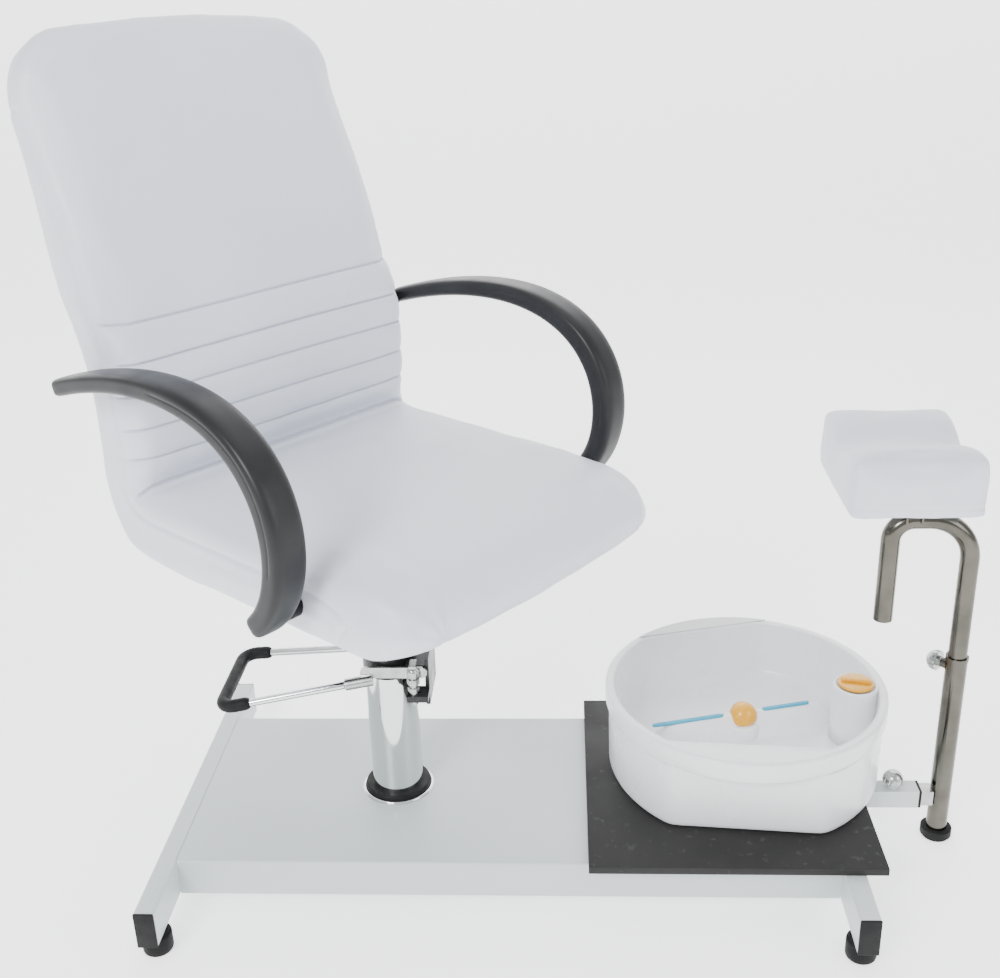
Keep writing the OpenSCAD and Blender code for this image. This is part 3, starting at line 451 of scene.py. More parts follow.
def swell(obj, voxel, pressure, cap, pinned=None, frames=20):
    """Voxel remesh, Cloth with pressure, capped movement, then one subdivision."""
    mod = obj.modifiers.new("remesh", "REMESH")
    mod.mode = "VOXEL"
    mod.voxel_size = voxel
    apply_modifiers(obj)
    start = read_points(obj.data.vertices, "co")
    hold = pinned(start) if pinned is not None else np.zeros(len(start))
    group = obj.vertex_groups.new(name="hold")
    for i in np.nonzero(hold > 0.01)[0]:
        group.add([int(i)], float(hold[i]), "REPLACE")
    scene = bpy.context.scene
    scene.frame_set(1)
    cloth = obj.modifiers.new("cloth", "CLOTH")
    s = cloth.settings
    s.quality = 6
    s.mass = 0.4
    s.use_pressure = True
    s.uniform_pressure_force = pressure
    s.tension_stiffness = s.compression_stiffness = 18
    s.shear_stiffness = 8
    s.bending_stiffness = 1.2
    s.effector_weights.gravity = 0
    s.vertex_group_mass = "hold"
    cloth.collision_settings.use_collision = False
    cloth.collision_settings.use_self_collision = False
    for f in range(1, frames + 1):
        scene.frame_set(f)
    depsgraph = bpy.context.evaluated_depsgraph_get()
    moved = obj.evaluated_get(depsgraph).to_mesh()
    end = read_points(moved.vertices, "co")
    obj.evaluated_get(depsgraph).to_mesh_clear()
    obj.modifiers.clear()
    obj.vertex_groups.clear()
    scene.frame_set(1)
    delta = end - start
    length = np.linalg.norm(delta, axis=1)
    limit = cap(start)
    scale = np.where(length > 1e-9,
                     limit * np.tanh(length / np.maximum(limit, 1e-6))
                     / np.maximum(length, 1e-9), 0)
    obj.data.vertices.foreach_set("co", (start + delta * scale[:, None]).ravel())
    smooth = obj.modifiers.new("smooth", "CORRECTIVE_SMOOTH")
    smooth.iterations = 4
    smooth.use_only_smooth = True
    subdivision = obj.modifiers.new("subdivision", "SUBSURF")
    subdivision.levels = subdivision.render_levels = 1
    apply_modifiers(obj)


def displace(obj, amount):
    """Moves every vertex along its normal by amount(coordinates, normals)."""
    mesh = obj.data
    co = read_points(mesh.vertices, "co")
    normals = read_points(mesh.vertex_normals, "vector")
    co = co + normals * amount(co, normals)[:, None]
    mesh.vertices.foreach_set("co", co.ravel())
    mesh.update()


def ripple(p, scale, seed):
    """A smooth repeatable wobble between about -1 and 1."""
    rng = np.random.RandomState(seed)
    total = np.zeros(len(p))
    for _ in range(7):
        direction = rng.normal(size=3)
        direction /= np.linalg.norm(direction)
        total += np.sin(p @ direction * 2 * math.pi / scale * rng.uniform(0.6, 1.6)
                        + rng.uniform(0, 6.28))
    return total / 3.2


HALF_W = 0.272           # half the shell's width
SHELL_TOP = 1.266
TAPER_FROM = 1.02        # above this height the rounded top draws the shell down
SEAT_FRONT = 0.334
NOSE_FROM = 0.15         # ahead of this the rounded front draws the seat in
NOSE_LENGTH = 0.184

# side outline of the padded shell: forward and up from the column's foot, in millimetres
SHELL = [
    (-150, 532.2), (-60, 532.2), (60, 532.2), (180, 532.2), (262, 532.6), (296, 536), (316, 545),
    (329, 557), (334, 570), (330, 584), (318, 598), (300, 609), (274, 618), (240, 625),
    (198, 630), (150, 633), (90, 634), (20, 634), (-60, 634), (-130, 635), (-172, 636),
    (-194, 638), (-202, 646), (-200, 658), (-196, 680), (-194, 710), (-193, 750), (-195, 790),
    (-201, 832), (-212, 865), (-226, 897), (-259, 996), (-299, 1094), (-330, 1172),
    (-342, 1206), (-347, 1228), (-352, 1246), (-361, 1259), (-375, 1266), (-388, 1262),
    (-396, 1250), (-399, 1232), (-397, 1195), (-391, 1141), (-381, 1089), (-370, 1036),
    (-358, 968), (-342, 906), (-320, 853), (-303, 805), (-297, 757), (-297, 697),
    (-298, 641), (-290, 598), (-270, 565), (-238, 545), (-200, 536)
]


def front_limit(y):
    """How far forward the seat reaches at a distance y from the middle."""
    a = np.abs(y)
    t = np.clip((a - 0.212) / 0.060, 0, 1)
    return SEAT_FRONT - 0.016 * (a / HALF_W) ** 2 - 0.060 * (1 - np.sqrt(1 - t * t))


def top_limit(y):
    """How high the back reaches at a distance y from the middle."""
    a = np.abs(y)
    t = np.clip((a - 0.188) / 0.084, 0, 1)
    return SHELL_TOP - 0.020 * (a / HALF_W) ** 2 - 0.078 * (1 - np.sqrt(1 - t * t))


# the back's front and rear faces run on upward past the rounded top
BACK_FRONT = [(-193, 750), (-201, 832), (-226, 897), (-259, 996), (-299, 1094), (-330, 1172),
              (-366, 1275)]
BACK_REAR = [(-297, 757), (-320, 853), (-342, 906), (-358, 968), (-370, 1036), (-381, 1089),
             (-391, 1141), (-402, 1275)]


def face_at(points, z):
    return np.interp(z, [b * MM for a, b in points], [a * MM for a, b in points])


def lower_top(x, z, top):
    """Brings the top of a section down to a height, along the slopes of the two faces."""
    high = z > TAPER_FROM
    front, rear = face_at(BACK_FRONT, z), face_at(BACK_REAR, z)
    share = (front - x) / (front - rear)
    z_new = np.where(high, TAPER_FROM + (z - TAPER_FROM) * (top - TAPER_FROM)
                     / (SHELL_TOP - TAPER_FROM), z)
    front, rear = face_at(BACK_FRONT, z_new), face_at(BACK_REAR, z_new)
    return np.where(high, front - share * (front - rear), x), z_new


def shell_line(spacing):
    """The shell's side outline, and at each point the direction into the padding."""
    line = catmull([(x * MM, z * MM) for x, z in SHELL], spacing, closed=True)
    ahead = np.roll(line, -1, axis=0) - np.roll(line, 1, axis=0)
    ahead /= np.linalg.norm(ahead, axis=1)[:, None]
    return line, np.stack([-ahead[:, 1], ahead[:, 0]], axis=1)


def shell_rings():
    """Side outlines from one flank to the other, narrower and lower towards the corners."""
    line, inward = shell_line(0.007)
    z = line[:, 1]
    # rounding of the side edge: full at the front cover, softer behind and round the top
    rear = (inward[:, 0] > 0.2) & (z > 0.56)
    round_r = np.where(rear, 0.024, 0.029)
    round_r = np.where(z > 1.20, 0.024, round_r)
    round_r = np.where(z < 0.56, 0.014, round_r)
    for _ in range(8):
        round_r = (np.roll(round_r, 1) + round_r * 2 + np.roll(round_r, -1)) / 4
    depth = [0, 0.02, 0.06, 0.13, 0.22, 0.34, 0.48, 0.64, 0.82, 1.0]
    levels = []
    for side in (-1, 1):
        part = []
        for d in depth:
            inset = round_r * (1 - np.sqrt(1 - (1 - d) ** 2))
            part.append((line + inward * inset[:, None], side * (HALF_W - d * round_r)))
        levels.append(part if side < 0 else part[::-1])
    inner = [(line, np.full(len(line), y)) for y in np.linspace(-0.22, 0.22, 25)]
    rings = []
    for section, y in levels[0] + inner + levels[1]:
        sx, sz = section[:, 0].copy(), section[:, 1].copy()
        crown = 1 - (y / HALF_W) ** 2
        front = sx > NOSE_FROM
        sx[front] = NOSE_FROM + (sx[front] - NOSE_FROM) * (
            (front_limit(y[front]) - NOSE_FROM) / NOSE_LENGTH)
        sx, sz = lower_top(sx, sz, top_limit(y))
        on_seat = (sz > 0.60) & (sx > -0.18) & (sx < 0.33) & (sz < 0.66)
        sz = sz + np.where(on_seat, 0.006 * crown * np.clip((sx + 0.18) / 0.1, 0, 1), 0)
        rings.append([(a, b, c) for a, b, c in zip(sx, y, sz)])
    return rings


SEAMS = (0.878, 0.825, 0.780, 0.730, 0.685)     # heights of the sewn channels
CREASE = (-0.201, 0.6425)                       # forward and up: back meets seat


def chair_axes(co, normals=None):
    """Points, and normals too if given, turned into the chair's own axes."""
    m = np.array(CHAIR.inverted())
    p = co @ m[:3, :3].T + m[:3, 3]
    return (p, normals @ m[:3, :3].T) if normals is not None else p


def along_crease(x, z):
    """How far a point lies from the crease, measured down the curve of the profile."""
    return ((x - CREASE[0]) - (z - CREASE[1])) * math.sqrt(0.5)


def near_seams(co):
    """Which points lie close to a sewn line on the back's front."""
    x, _, z = chair_axes(co).T
    close = np.zeros(len(co), bool)
    for level in SEAMS:
        close |= (np.abs(z - level) < 0.0055) & (x > -0.245) & (x < -0.15)
    return close | ((np.hypot(x - CREASE[0], z - CREASE[1]) < 0.022)
                    & (np.abs(along_crease(x, z)) < 0.007))


def refine(obj, chooser, rounds):
    """Cuts the faces near chosen points finer."""
    for _ in range(rounds):
        bm = bmesh.new()
        bm.from_mesh(obj.data)
        co = np.array([v.co[:] for v in bm.verts])
        chosen = chooser(co)
        bm.verts.ensure_lookup_table()
        edges = [e for e in bm.edges if chosen[e.verts[0].index] and chosen[e.verts[1].index]]
        bmesh.ops.subdivide_edges(bm, edges=edges, cuts=1, use_grid_fill=True)
        bm.to_mesh(obj.data)
        bm.free()
    shade(obj.data)


def shell_detail(co, normals):
    """Seams, channels and soft creases, in the chair's own axes."""
    p, n = chair_axes(co, normals)
    x, y, z = p.T
    out = np.zeros(len(p))
    facing = np.clip((n[:, 0] + 0.15) / 0.4, 0, 1)
    on_back = np.clip((z - 0.650) / 0.012, 0, 1) * (x < -0.15)
    side = np.clip((np.abs(n[:, 1]) - 0.75) / 0.2, 0, 1)
    ends = np.clip((0.271 - np.abs(y)) / 0.008, 0, 1)
    # sewn channels across the back, with full bands between them
    for i, level in enumerate(SEAMS):
        dz = z - level - 0.0012 * np.sin(y * 9 + i)
        pull = (0.0042, 0.0046, 0.0042, 0.0042, 0.0042)[i]
        out -= facing * on_back * ends * pull * np.exp(-(dz / 0.0015) ** 2)
        out -= facing * on_back * ends * 0.0024 * np.exp(-(dz / 0.008) ** 2)
        pucker = ripple(p, 0.040, 11 + i) * np.exp(-(dz / 0.012) ** 2)
        out += facing * on_back * 0.0005 * pucker
    down = along_crease(x, z)
    beside = np.exp(-(np.hypot(x - CREASE[0], z - CREASE[1]) / 0.020) ** 4)
    out -= ends * beside * (0.0055 * np.exp(-(down / 0.0017) ** 2)
                            + 0.0022 * np.exp(-(down / 0.010) ** 2))
    # a sewn edge on the side walls, 34 mm behind the front cover
    outline, inward = shell_line(0.006)
    sx, sz = outline[:, 0].copy(), outline[:, 1].copy()
    lead = sx > NOSE_FROM
    sx[lead] = NOSE_FROM + (sx[lead] - NOSE_FROM) * (0.258 - NOSE_FROM) / NOSE_LENGTH
    sx, sz = lower_top(sx, sz, top_limit(np.full(len(sx), 0.270)))
    is_front = ((inward[:, 0] < -0.25) & (sz > 0.60)) | ((inward[:, 1] < -0.5) & (sz > 0.58)) \
        | (outline[:, 0] > 0.3)
    front = np.stack([sx, sz], axis=1)[is_front]
    where = np.nonzero(side > 0.05)[0]
    if len(where):
        q = p[where][:, [0, 2]]
        near = np.full(len(where), 9.0)
        for k in range(0, len(front), 2):
            near = np.minimum(near, np.hypot(q[:, 0] - front[k, 0], q[:, 1] - front[k, 1]))
        out[where] -= side[where] * 0.0022 * np.exp(-((near - 0.034) / 0.0026) ** 2)
        out[where] += side[where] * 0.0008 * np.exp(-((near - 0.044) / 0.006) ** 2)
    # tension creases where seat and back meet, and loose ones elsewhere
    near_crease = np.exp(-((x + 0.17) / 0.07) ** 2 - ((z - 0.645) / 0.07) ** 2)
    out += 0.0010 * near_crease * ripple(p, 0.08, 21)
    out += 0.0010 * ripple(p, 0.26, 31) * (0.3 + facing)
    out += 0.0005 * ripple(p, 0.09, 41)
    # the pull lines that fan out from the front corners and one short diagonal wrinkle
    for sign in (-1, 1):
        corner = np.hypot(x - 0.27, y - sign * 0.235)
        out += 0.0012 * np.exp(-(corner / 0.07) ** 2) * np.sin(
            np.arctan2(z - 0.56, sign * y - 0.20) * 9)
    lean = (z - 0.853) - 1.1 * (y - 0.150)
    out += facing * on_back * 0.0016 * np.exp(-(lean / 0.0035) ** 2) \
        * np.exp(-((y - 0.150) / 0.022) ** 2)
    return out


def make_shell(mats):
    obj = make_object("chair_shell", *loft(shell_rings()), mats["leatherette"], CHAIR)

    def cap(co):
        p = chair_axes(co)
        limit = np.where(p[:, 2] < 0.56, 0.0015, 0.006)
        crease = np.exp(-((p[:, 0] + 0.20) / 0.03) ** 2 - ((p[:, 2] - 0.64) / 0.02) ** 2)
        limit = limit * (1 - 0.75 * crease)
        return limit * np.where(np.abs(p[:, 1]) > 0.262, 0.5, 1.0)

    def pinned(co):
        return np.where(chair_axes(co)[:, 2] < 0.538, 1.0, 0.0)

    swell(obj, 0.0058, 4.0, cap, pinned)
    refine(obj, near_seams, 3)
    displace(obj, shell_detail)
    hand_in(obj, "white_upholstery", "chair", "seat_cushion", "back_cushion")


def make_pad(mats):
    """The footrest's saddle-shaped pad."""
    low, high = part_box("footrest_cushion")
    cx, cy = (low.x + high.x) / 2, (low.y + high.y) / 2
    # the padding stands out a little beyond the moulded core
    hx, hy = (high.x - low.x) / 2 + 0.0055, (high.y - low.y) / 2 + 0.004
    base, rise = low.z - 0.003, high.z - low.z + 0.008

    def saddle(y):
        return base + rise - 0.022 * math.exp(-((y - cy) / 0.047) ** 2)

    def outline(inset, shrink=1.0, n=176):
        """A rectangle with rounded corners, counterclockwise."""
        ring = []
        for j in range(n):
            a = 2 * math.pi * (j + 0.5) / n
            c, s = math.cos(a), math.sin(a)
            k = ((abs(c) / (hx - inset)) ** 22 + (abs(s) / (hy - inset)) ** 22) ** (-1 / 22)
            ring.append((cx + k * c * shrink, cy + k * s * shrink))
        return ring

    rings = [[(cx + (x - cx) * k, cy + (y - cy) * k, base) for x, y in outline(0.008)]
             for k in (0.05, 0.5)]
    for inset, up in ((0.005, 0.0), (0.0012, 0.0004), (0.0, 0.003)):
        rings.append([(x, y, base + up) for x, y in outline(inset)])
    for share in (0.25, 0.5, 0.75, 1.0):
        rings.append([(x, y, base + 0.003 + share * (saddle(y) - 0.016 - base - 0.003))
                      for x, y in outline(0.0)])
    for k in range(1, 9):
        a = math.pi / 2 * k / 8
        rings.append([(x, y, saddle(y) - 0.016 + 0.016 * math.sin(a))
                      for x, y in outline(0.016 * (1 - math.cos(a)))])
    for k in (0.9, 0.78, 0.66, 0.54, 0.42, 0.3, 0.2, 0.1, 0.03):
        rings.append([(x, y, saddle(y) + 0.002 * (1 - k))
                      for x, y in outline(0.016, k)])
    obj = make_object("footrest_pad", *loft(rings), mats["leatherette"])

    def cap(co):
        return np.where(co[:, 2] < base + 0.012, 0.0005, 0.0035)

    swell(obj, 0.0042, 4.0, cap, lambda co: np.where(co[:, 2] < base + 0.004, 1.0, 0.0))

    def detail(co, normals):
        out = 0.0006 * ripple(co, 0.09, 5) + 0.0003 * ripple(co, 0.035, 6)
        flank = np.clip(1 - np.abs(normals[:, 2]) * 1.3, 0, 1)
        # corner seams and the cover's lower fold
        corner = np.minimum(np.abs(np.abs(co[:, 0] - cx) - hx), 1)
        out -= 0.0016 * flank * np.exp(-((co[:, 2] - base - 0.016) / 0.0025) ** 2)
        out -= 0.0012 * np.exp(-((np.abs(co[:, 1] - cy) - hy + 0.012) / 0.0025) ** 2) \
            * np.clip(np.abs(normals[:, 0]) - 0.4, 0, 1) * (corner < 0.02)
        return out

    displace(obj, detail)
    hand_in(obj, "white_upholstery", "footrest", "footrest_cushion")
    return obj


# ---------------------------------------------------------------- armrests

ARM = [(-262, 800), (-20, 876), (145, 852), (200, 784), (221, 634), (122, 564)]


def arm_point(t):
    p = np.zeros(2)
    for i, c in enumerate(ARM):
        p += math.comb(5, i) * t ** i * (1 - t) ** (5 - i) * np.array(c, float) * MM
    return p


def make_arm(name, side, node, mats):
    rings = []
    count = 72
    seg = 40
    ts = [0.012 + 0.967 * i / (count - 1) for i in range(count)]
    ends = []
    for t in ts:
        d = arm_point(min(t + 0.005, 1.005)) - arm_point(t - 0.005)
        d /= np.linalg.norm(d)
        n = np.array([-d[1], d[0]])
        half_t = (13.0 + 6.0 * max(0.0, math.sin(math.radians(140 * t))) ** 1.5) * MM
        half_w = (23.5 + 2.5 * math.sin(math.pi * t)) * MM
        ends.append((arm_point(t), d, n, half_t, half_w))

    def ring(centre, n, half_t, half_w, grow=1.0):
        out = []
        for j in range(seg):
            a = 2 * math.pi * j / seg
            c, s = math.cos(a), math.sin(a)
            k = (abs(c) ** 4.4 + abs(s) ** 4.4) ** (-1 / 4.4)
            u, v = c * k * grow, s * k * grow
            # the upper and outer face is fuller than the inner one
            thick = half_t * (1.0 if v > 0 else 0.92)
            p = centre + n * v * thick
            out.append((p[0], side * 0.319 + u * half_w, p[1]))
        return out

    def cap_rings(end, way):
        centre, d, n, half_t, half_w = end
        part = []
        for k in (0.0, 0.25, 0.5, 0.72, 0.88, 0.97):
            grow = math.sqrt(1 - k * k)
            part.append(ring(centre + way * d * k * half_t, n, half_t, half_w, grow))
        return part

    rings = cap_rings(ends[0], -1)[::-1] + \
        [ring(c, n, ht, hw) for c, d, n, ht, hw in ends[1:-1]] + cap_rings(ends[-1], 1)
    obj = make_object(name, *loft(rings), mats["arm_plastic"], CHAIR)
    subdivide(obj, 1)
    inverse = np.array(CHAIR.inverted())

    def parting(co, normals):
        """A fine mould line along both flanks."""
        p = co @ inverse[:3, :3].T + inverse[:3, 3]
        samples = [arm_point(i / 160) for i in range(161)]
        pos = np.array(samples)
        d = np.hypot(p[:, 0][:, None] - pos[:, 0], p[:, 2][:, None] - pos[:, 1])
        near = d.argmin(axis=1)
        t = near / 160
        tangent = np.gradient(pos, axis=0)
        tangent /= np.linalg.norm(tangent, axis=1)[:, None]
        rel = p[:, [0, 2]] - pos[near]
        offset = rel[:, 0] * -tangent[near, 1] + rel[:, 1] * tangent[near, 0]
        out = np.zeros(len(p))
        flank = np.abs(p[:, 1] - side * 0.319) > 0.016
        curve = 0.004 * np.sin(np.clip((t - 0.28) / 0.5, 0, 1) * math.pi) + 0.0015
        out -= flank * 0.0007 * np.exp(-((offset - curve) / 0.0012) ** 2) \
            * ((t > 0.24) & (t < 0.8))
        return out

    displace(obj, parting)
    hand_in(obj, "arm_plastic", "chair", node)


# ---------------------------------------------------------------- foot spa

STRIP_TURN = math.radians(20)      # turns the strips and the tub's flat back alike
SPA_CRISP = 90                     # higher means a sharper corner at a flat
SPA_LAP = 2.5                      # how much deeper the rim is at the front, in millimetres
KNOB = (0.174, 0.010)              # from the basin's middle


def spa_ring(r, flat, z, front=0.0, dip=0.0, limit=None, n=192):
    """A round outline with a flat front and a flat, turned back; millimetres in, metres out.
    front deepens the front half, and dip lowers it."""
    ring = []
    for j in range(n):
        a = 2 * math.pi * (j + 0.5) / n
        c, s = math.cos(a), math.sin(a)
        deep = r + front if s < 0 else r
        reach = 1 / math.sqrt((c / r) ** 2 + (s / deep) ** 2)
        if limit:
            rim = 1 / math.sqrt((c / limit) ** 2 + (s / (limit + (SPA_LAP if s < 0 else 0))) ** 2)
            reach = min(reach, rim - 0.4)
        if flat:
            ahead = -s
            behind = math.cos(a - math.pi / 2 - STRIP_TURN)
            for facing, far in ((ahead, flat), (behind, flat + 8)):
                if facing > 0.05:
                    f = far / facing
                    m = min(reach, f)
                    reach = m * ((m / reach) ** SPA_CRISP
                                 + (m / f) ** SPA_CRISP) ** (-1 / SPA_CRISP)
        low = dip * max(0.0, -s - 0.25) / 0.75
        ring.append((reach * c * MM, reach * s * MM, (z - low) * MM))
    return ring


def make_spa(mats):
    """Housing and tub as one shell, and the fittings in it."""
    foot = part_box("spa_base")[0].z / MM
    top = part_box("spa_tub")[1].z / MM
    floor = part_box("massage_base")[0].z / MM
    skirt = top - 26
    wall = dict(front=15, limit=224)
    lap = dict(front=SPA_LAP, dip=7)
    rim = dict(front=SPA_LAP)
    rings = [spa_ring(r, flat, z, **more) for r, flat, z, more in [
        (206, 188, foot + 2, wall), (208, 190, foot + 0.4, wall), (211, 192.5, foot, wall),
        (213.4, 194, foot + 0.8, wall), (214.5, 195, foot + 3, wall), (214.5, 195, foot + 8, wall),
        (214.8, 195, foot + 50, wall), (215, 195, skirt - 30, wall),
        (215, 195, skirt - 3, dict(wall, dip=7)), (215.2, 195.2, skirt - 0.6, dict(wall, dip=7)),
        (217, 196, skirt, dict(front=8, dip=7, limit=221)), (219, None, skirt, lap),
        (220.4, None, skirt + 0.5, lap), (221, None, skirt + 2, lap),
        (221, None, skirt + 9, dict(rim, dip=4)), (221, None, top - 6, rim),
        (220.6, None, top - 2.6, rim), (219, None, top - 0.8, rim),
        (216.5, None, top, rim), (214, None, top, rim),
        (212, 197, top - 0.6, {}), (210.8, 181, top - 0.9, {}), (209.9, 176.6, top - 0.3, {}),
        (209.0, 174.4, top + 0.2, {}), (207.8, 172.4, top - 0.6, {}), (207, 171.2, top - 3, {}),
        (206.6, 170.8, top - 8, {}), (204, 168, top - 45, {}), (201, 165, floor + 18, {}),
        (199.6, 163.4, floor + 10, {}), (196.6, 160.6, floor + 4.6, {}),
        (191, 155, floor + 1.4, {}), (184, 149, floor + 0.3, {}), (170, 140, floor, {}),
        (150, 126, floor, {}), (130, 110, floor, {}), (110, 94, floor, {}), (92, 80, floor, {}),
        (76, 68, floor, {}), (60, 60, floor, {}), (46, 46, floor, {}), (34, 34, floor, {}),
        (22, 22, floor, {}), (10, 10, floor, {})]]
    verts, faces = loft(rings)
    c, s = math.cos(STRIP_TURN), math.sin(STRIP_TURN)
    shaped = []
    for x, y, z in verts:
        if z < (floor + 16) * MM and math.hypot(x, y) < 0.200:
            along, off = x * c + y * s, -x * s + y * c
            ridge = 0.0425 * math.exp(-(abs(off) / 0.021) ** 2.6)
            fade = 1 / (1 + math.exp((abs(along) - 0.150) / 0.008))
            inner = min(1.0, max(0.0, (0.196 - math.hypot(x, y)) / 0.02))
            z = max(z, z + ridge * fade * inner)
        shaped.append((x, y, z))
    obj = make_object("spa_shell", shaped, faces, mats["spa"], SPA)
    hand_in(obj, "spa_white", "foot_spa", "spa_tub", "spa_housing", "bubble_ridge")

    # knob boss, which grows out of the tub's right end
    kx, ky = KNOB
    profile = [(0.0362, floor * MM - 0.001), (0.0358, (floor + 30) * MM),
               (0.0354, (top - 12) * MM), (0.0352, (top - 3) * MM), (0.0346, (top - 0.6) * MM),
               (0.0334, (top + 0.8) * MM), (0.0320, (top + 1.2) * MM), (0.0308, (top + 0.8) * MM),
               (0.0300, (top - 0.1) * MM), (0.0296, (top - 0.9) * MM), (0.012, (top - 1.0) * MM),
               (0.0052, (top - 1.0) * MM)]
    verts, faces = loft(lathe(profile, 72))
    boss = make_object("knob_boss", [(x + kx, y + ky, z) for x, y, z in verts], faces,
                       mats["spa"], SPA)
    hand_in(boss, "spa_white", "foot_spa")

    # strips with a bead of nozzles
    for name, sign in (("strip_a", -1), ("strip_b", 1)):
        low, high = 0.033, (0.153 if sign < 0 else 0.114)
        line = [(sign * t, 0, 0) for t in np.linspace(low, high, 40)]
        z0 = (floor + 42.4) * MM
        rings = []
        for i, (x, _, _) in enumerate(line):
            t = i / (len(line) - 1)
            w = 0.0052 * min(1.0, math.sqrt(max(0.0, 1 - (abs(t - 0.5) * 2) ** 24)))
            w = max(w, 0.0006)
            h = 0.0022 + 0.0002 * math.cos(i * math.pi)
            ring = []
            for j in range(16):
                a = 2 * math.pi * j / 16
                ring.append((x, w * math.cos(a), z0 + (h * math.sin(a) if math.sin(a) > 0
                                                       else 0.002 * math.sin(a))))
            rings.append(ring)
        verts, faces = loft(rings)
        place = SPA @ Matrix.Rotation(STRIP_TURN, 4, "Z")
        strip = make_object(name, verts, faces, mats["blue"], place)
        hand_in(strip, "strip_blue", "foot_spa")
        if sign < 0:
            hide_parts("bubble_strips")

    # massage head and the turret under it
    f = floor * MM
    profile = [(0.0310, f - 0.001), (0.0302, f + 0.010), (0.0290, f + 0.018), (0.0280, f + 0.022),
               (0.0273, f + 0.0245), (0.0262, f + 0.0262), (0.0240, f + 0.0272),
               (0.0060, f + 0.0274), (0.0058, f + 0.0385), (0.0048, f + 0.0395)]
    turret = make_object("massage_turret", *loft(lathe(profile, 72)), mats["spa"], SPA)
    hand_in(turret, "spa_white", "foot_spa", "massage_base")
    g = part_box("massage_head")[0].z
    profile = [(0.0061, g + 0.011), (0.0061, g + 0.0005), (0.0190, g), (0.0208, g + 0.0006),
               (0.0218, g + 0.0022), (0.0224, g + 0.006), (0.0219, g + 0.011),
               (0.0203, g + 0.0165), (0.0176, g + 0.0216), (0.0142, g + 0.0256),
               (0.0102, g + 0.0283), (0.0058, g + 0.0298), (0.0020, g + 0.0303)]

    def lobes(a, z):
        return 1 + (0.035 * math.cos(3 * a) if z > g + 0.0004 else 0)

    head = make_object("massage_dome", *loft(lathe(profile, 72, lobes)), mats["orange"], SPA)
    hand_in(head, "head_orange", "massage_head", "massage_head")

    # control knob: a disc in a white collar, with a ribbed grip bar
    z = top * MM + 0.0003
    profile = [(0.0049, z - 0.0011), (0.0049, z - 0.0002), (0.0258, z - 0.0001),
               (0.0272, z + 0.0006), (0.0279, z + 0.0018), (0.0279, z + 0.0032),
               (0.0271, z + 0.0043), (0.0255, z + 0.0049), (0.010, z + 0.0052),
               (0.002, z + 0.0052)]
    parts = [loft(lathe(profile, 72)),
             box_mesh((-0.0235, -0.0055, z + 0.004), (0.0235, 0.0055, z + 0.0108), 0.0026, 4)]
    for i in range(8):
        x = -0.0175 + 0.005 * i
        parts.append(box_mesh((x - 0.0010, -0.0067, z + 0.0045), (x + 0.0010, 0.0067, z + 0.0100),
                              0.0008, 2))
    verts, faces = join_parts(parts)
    turn = Matrix.Translation((kx, ky, 0)) @ Matrix.Rotation(math.radians(-8), 4, "Z")
    knob = make_object("knob_dial", verts, faces, mats["orange"], SPA @ turn)
    hand_in(knob, "head_orange", "control_knob", "control_knob")


# ---------------------------------------------------------------- base

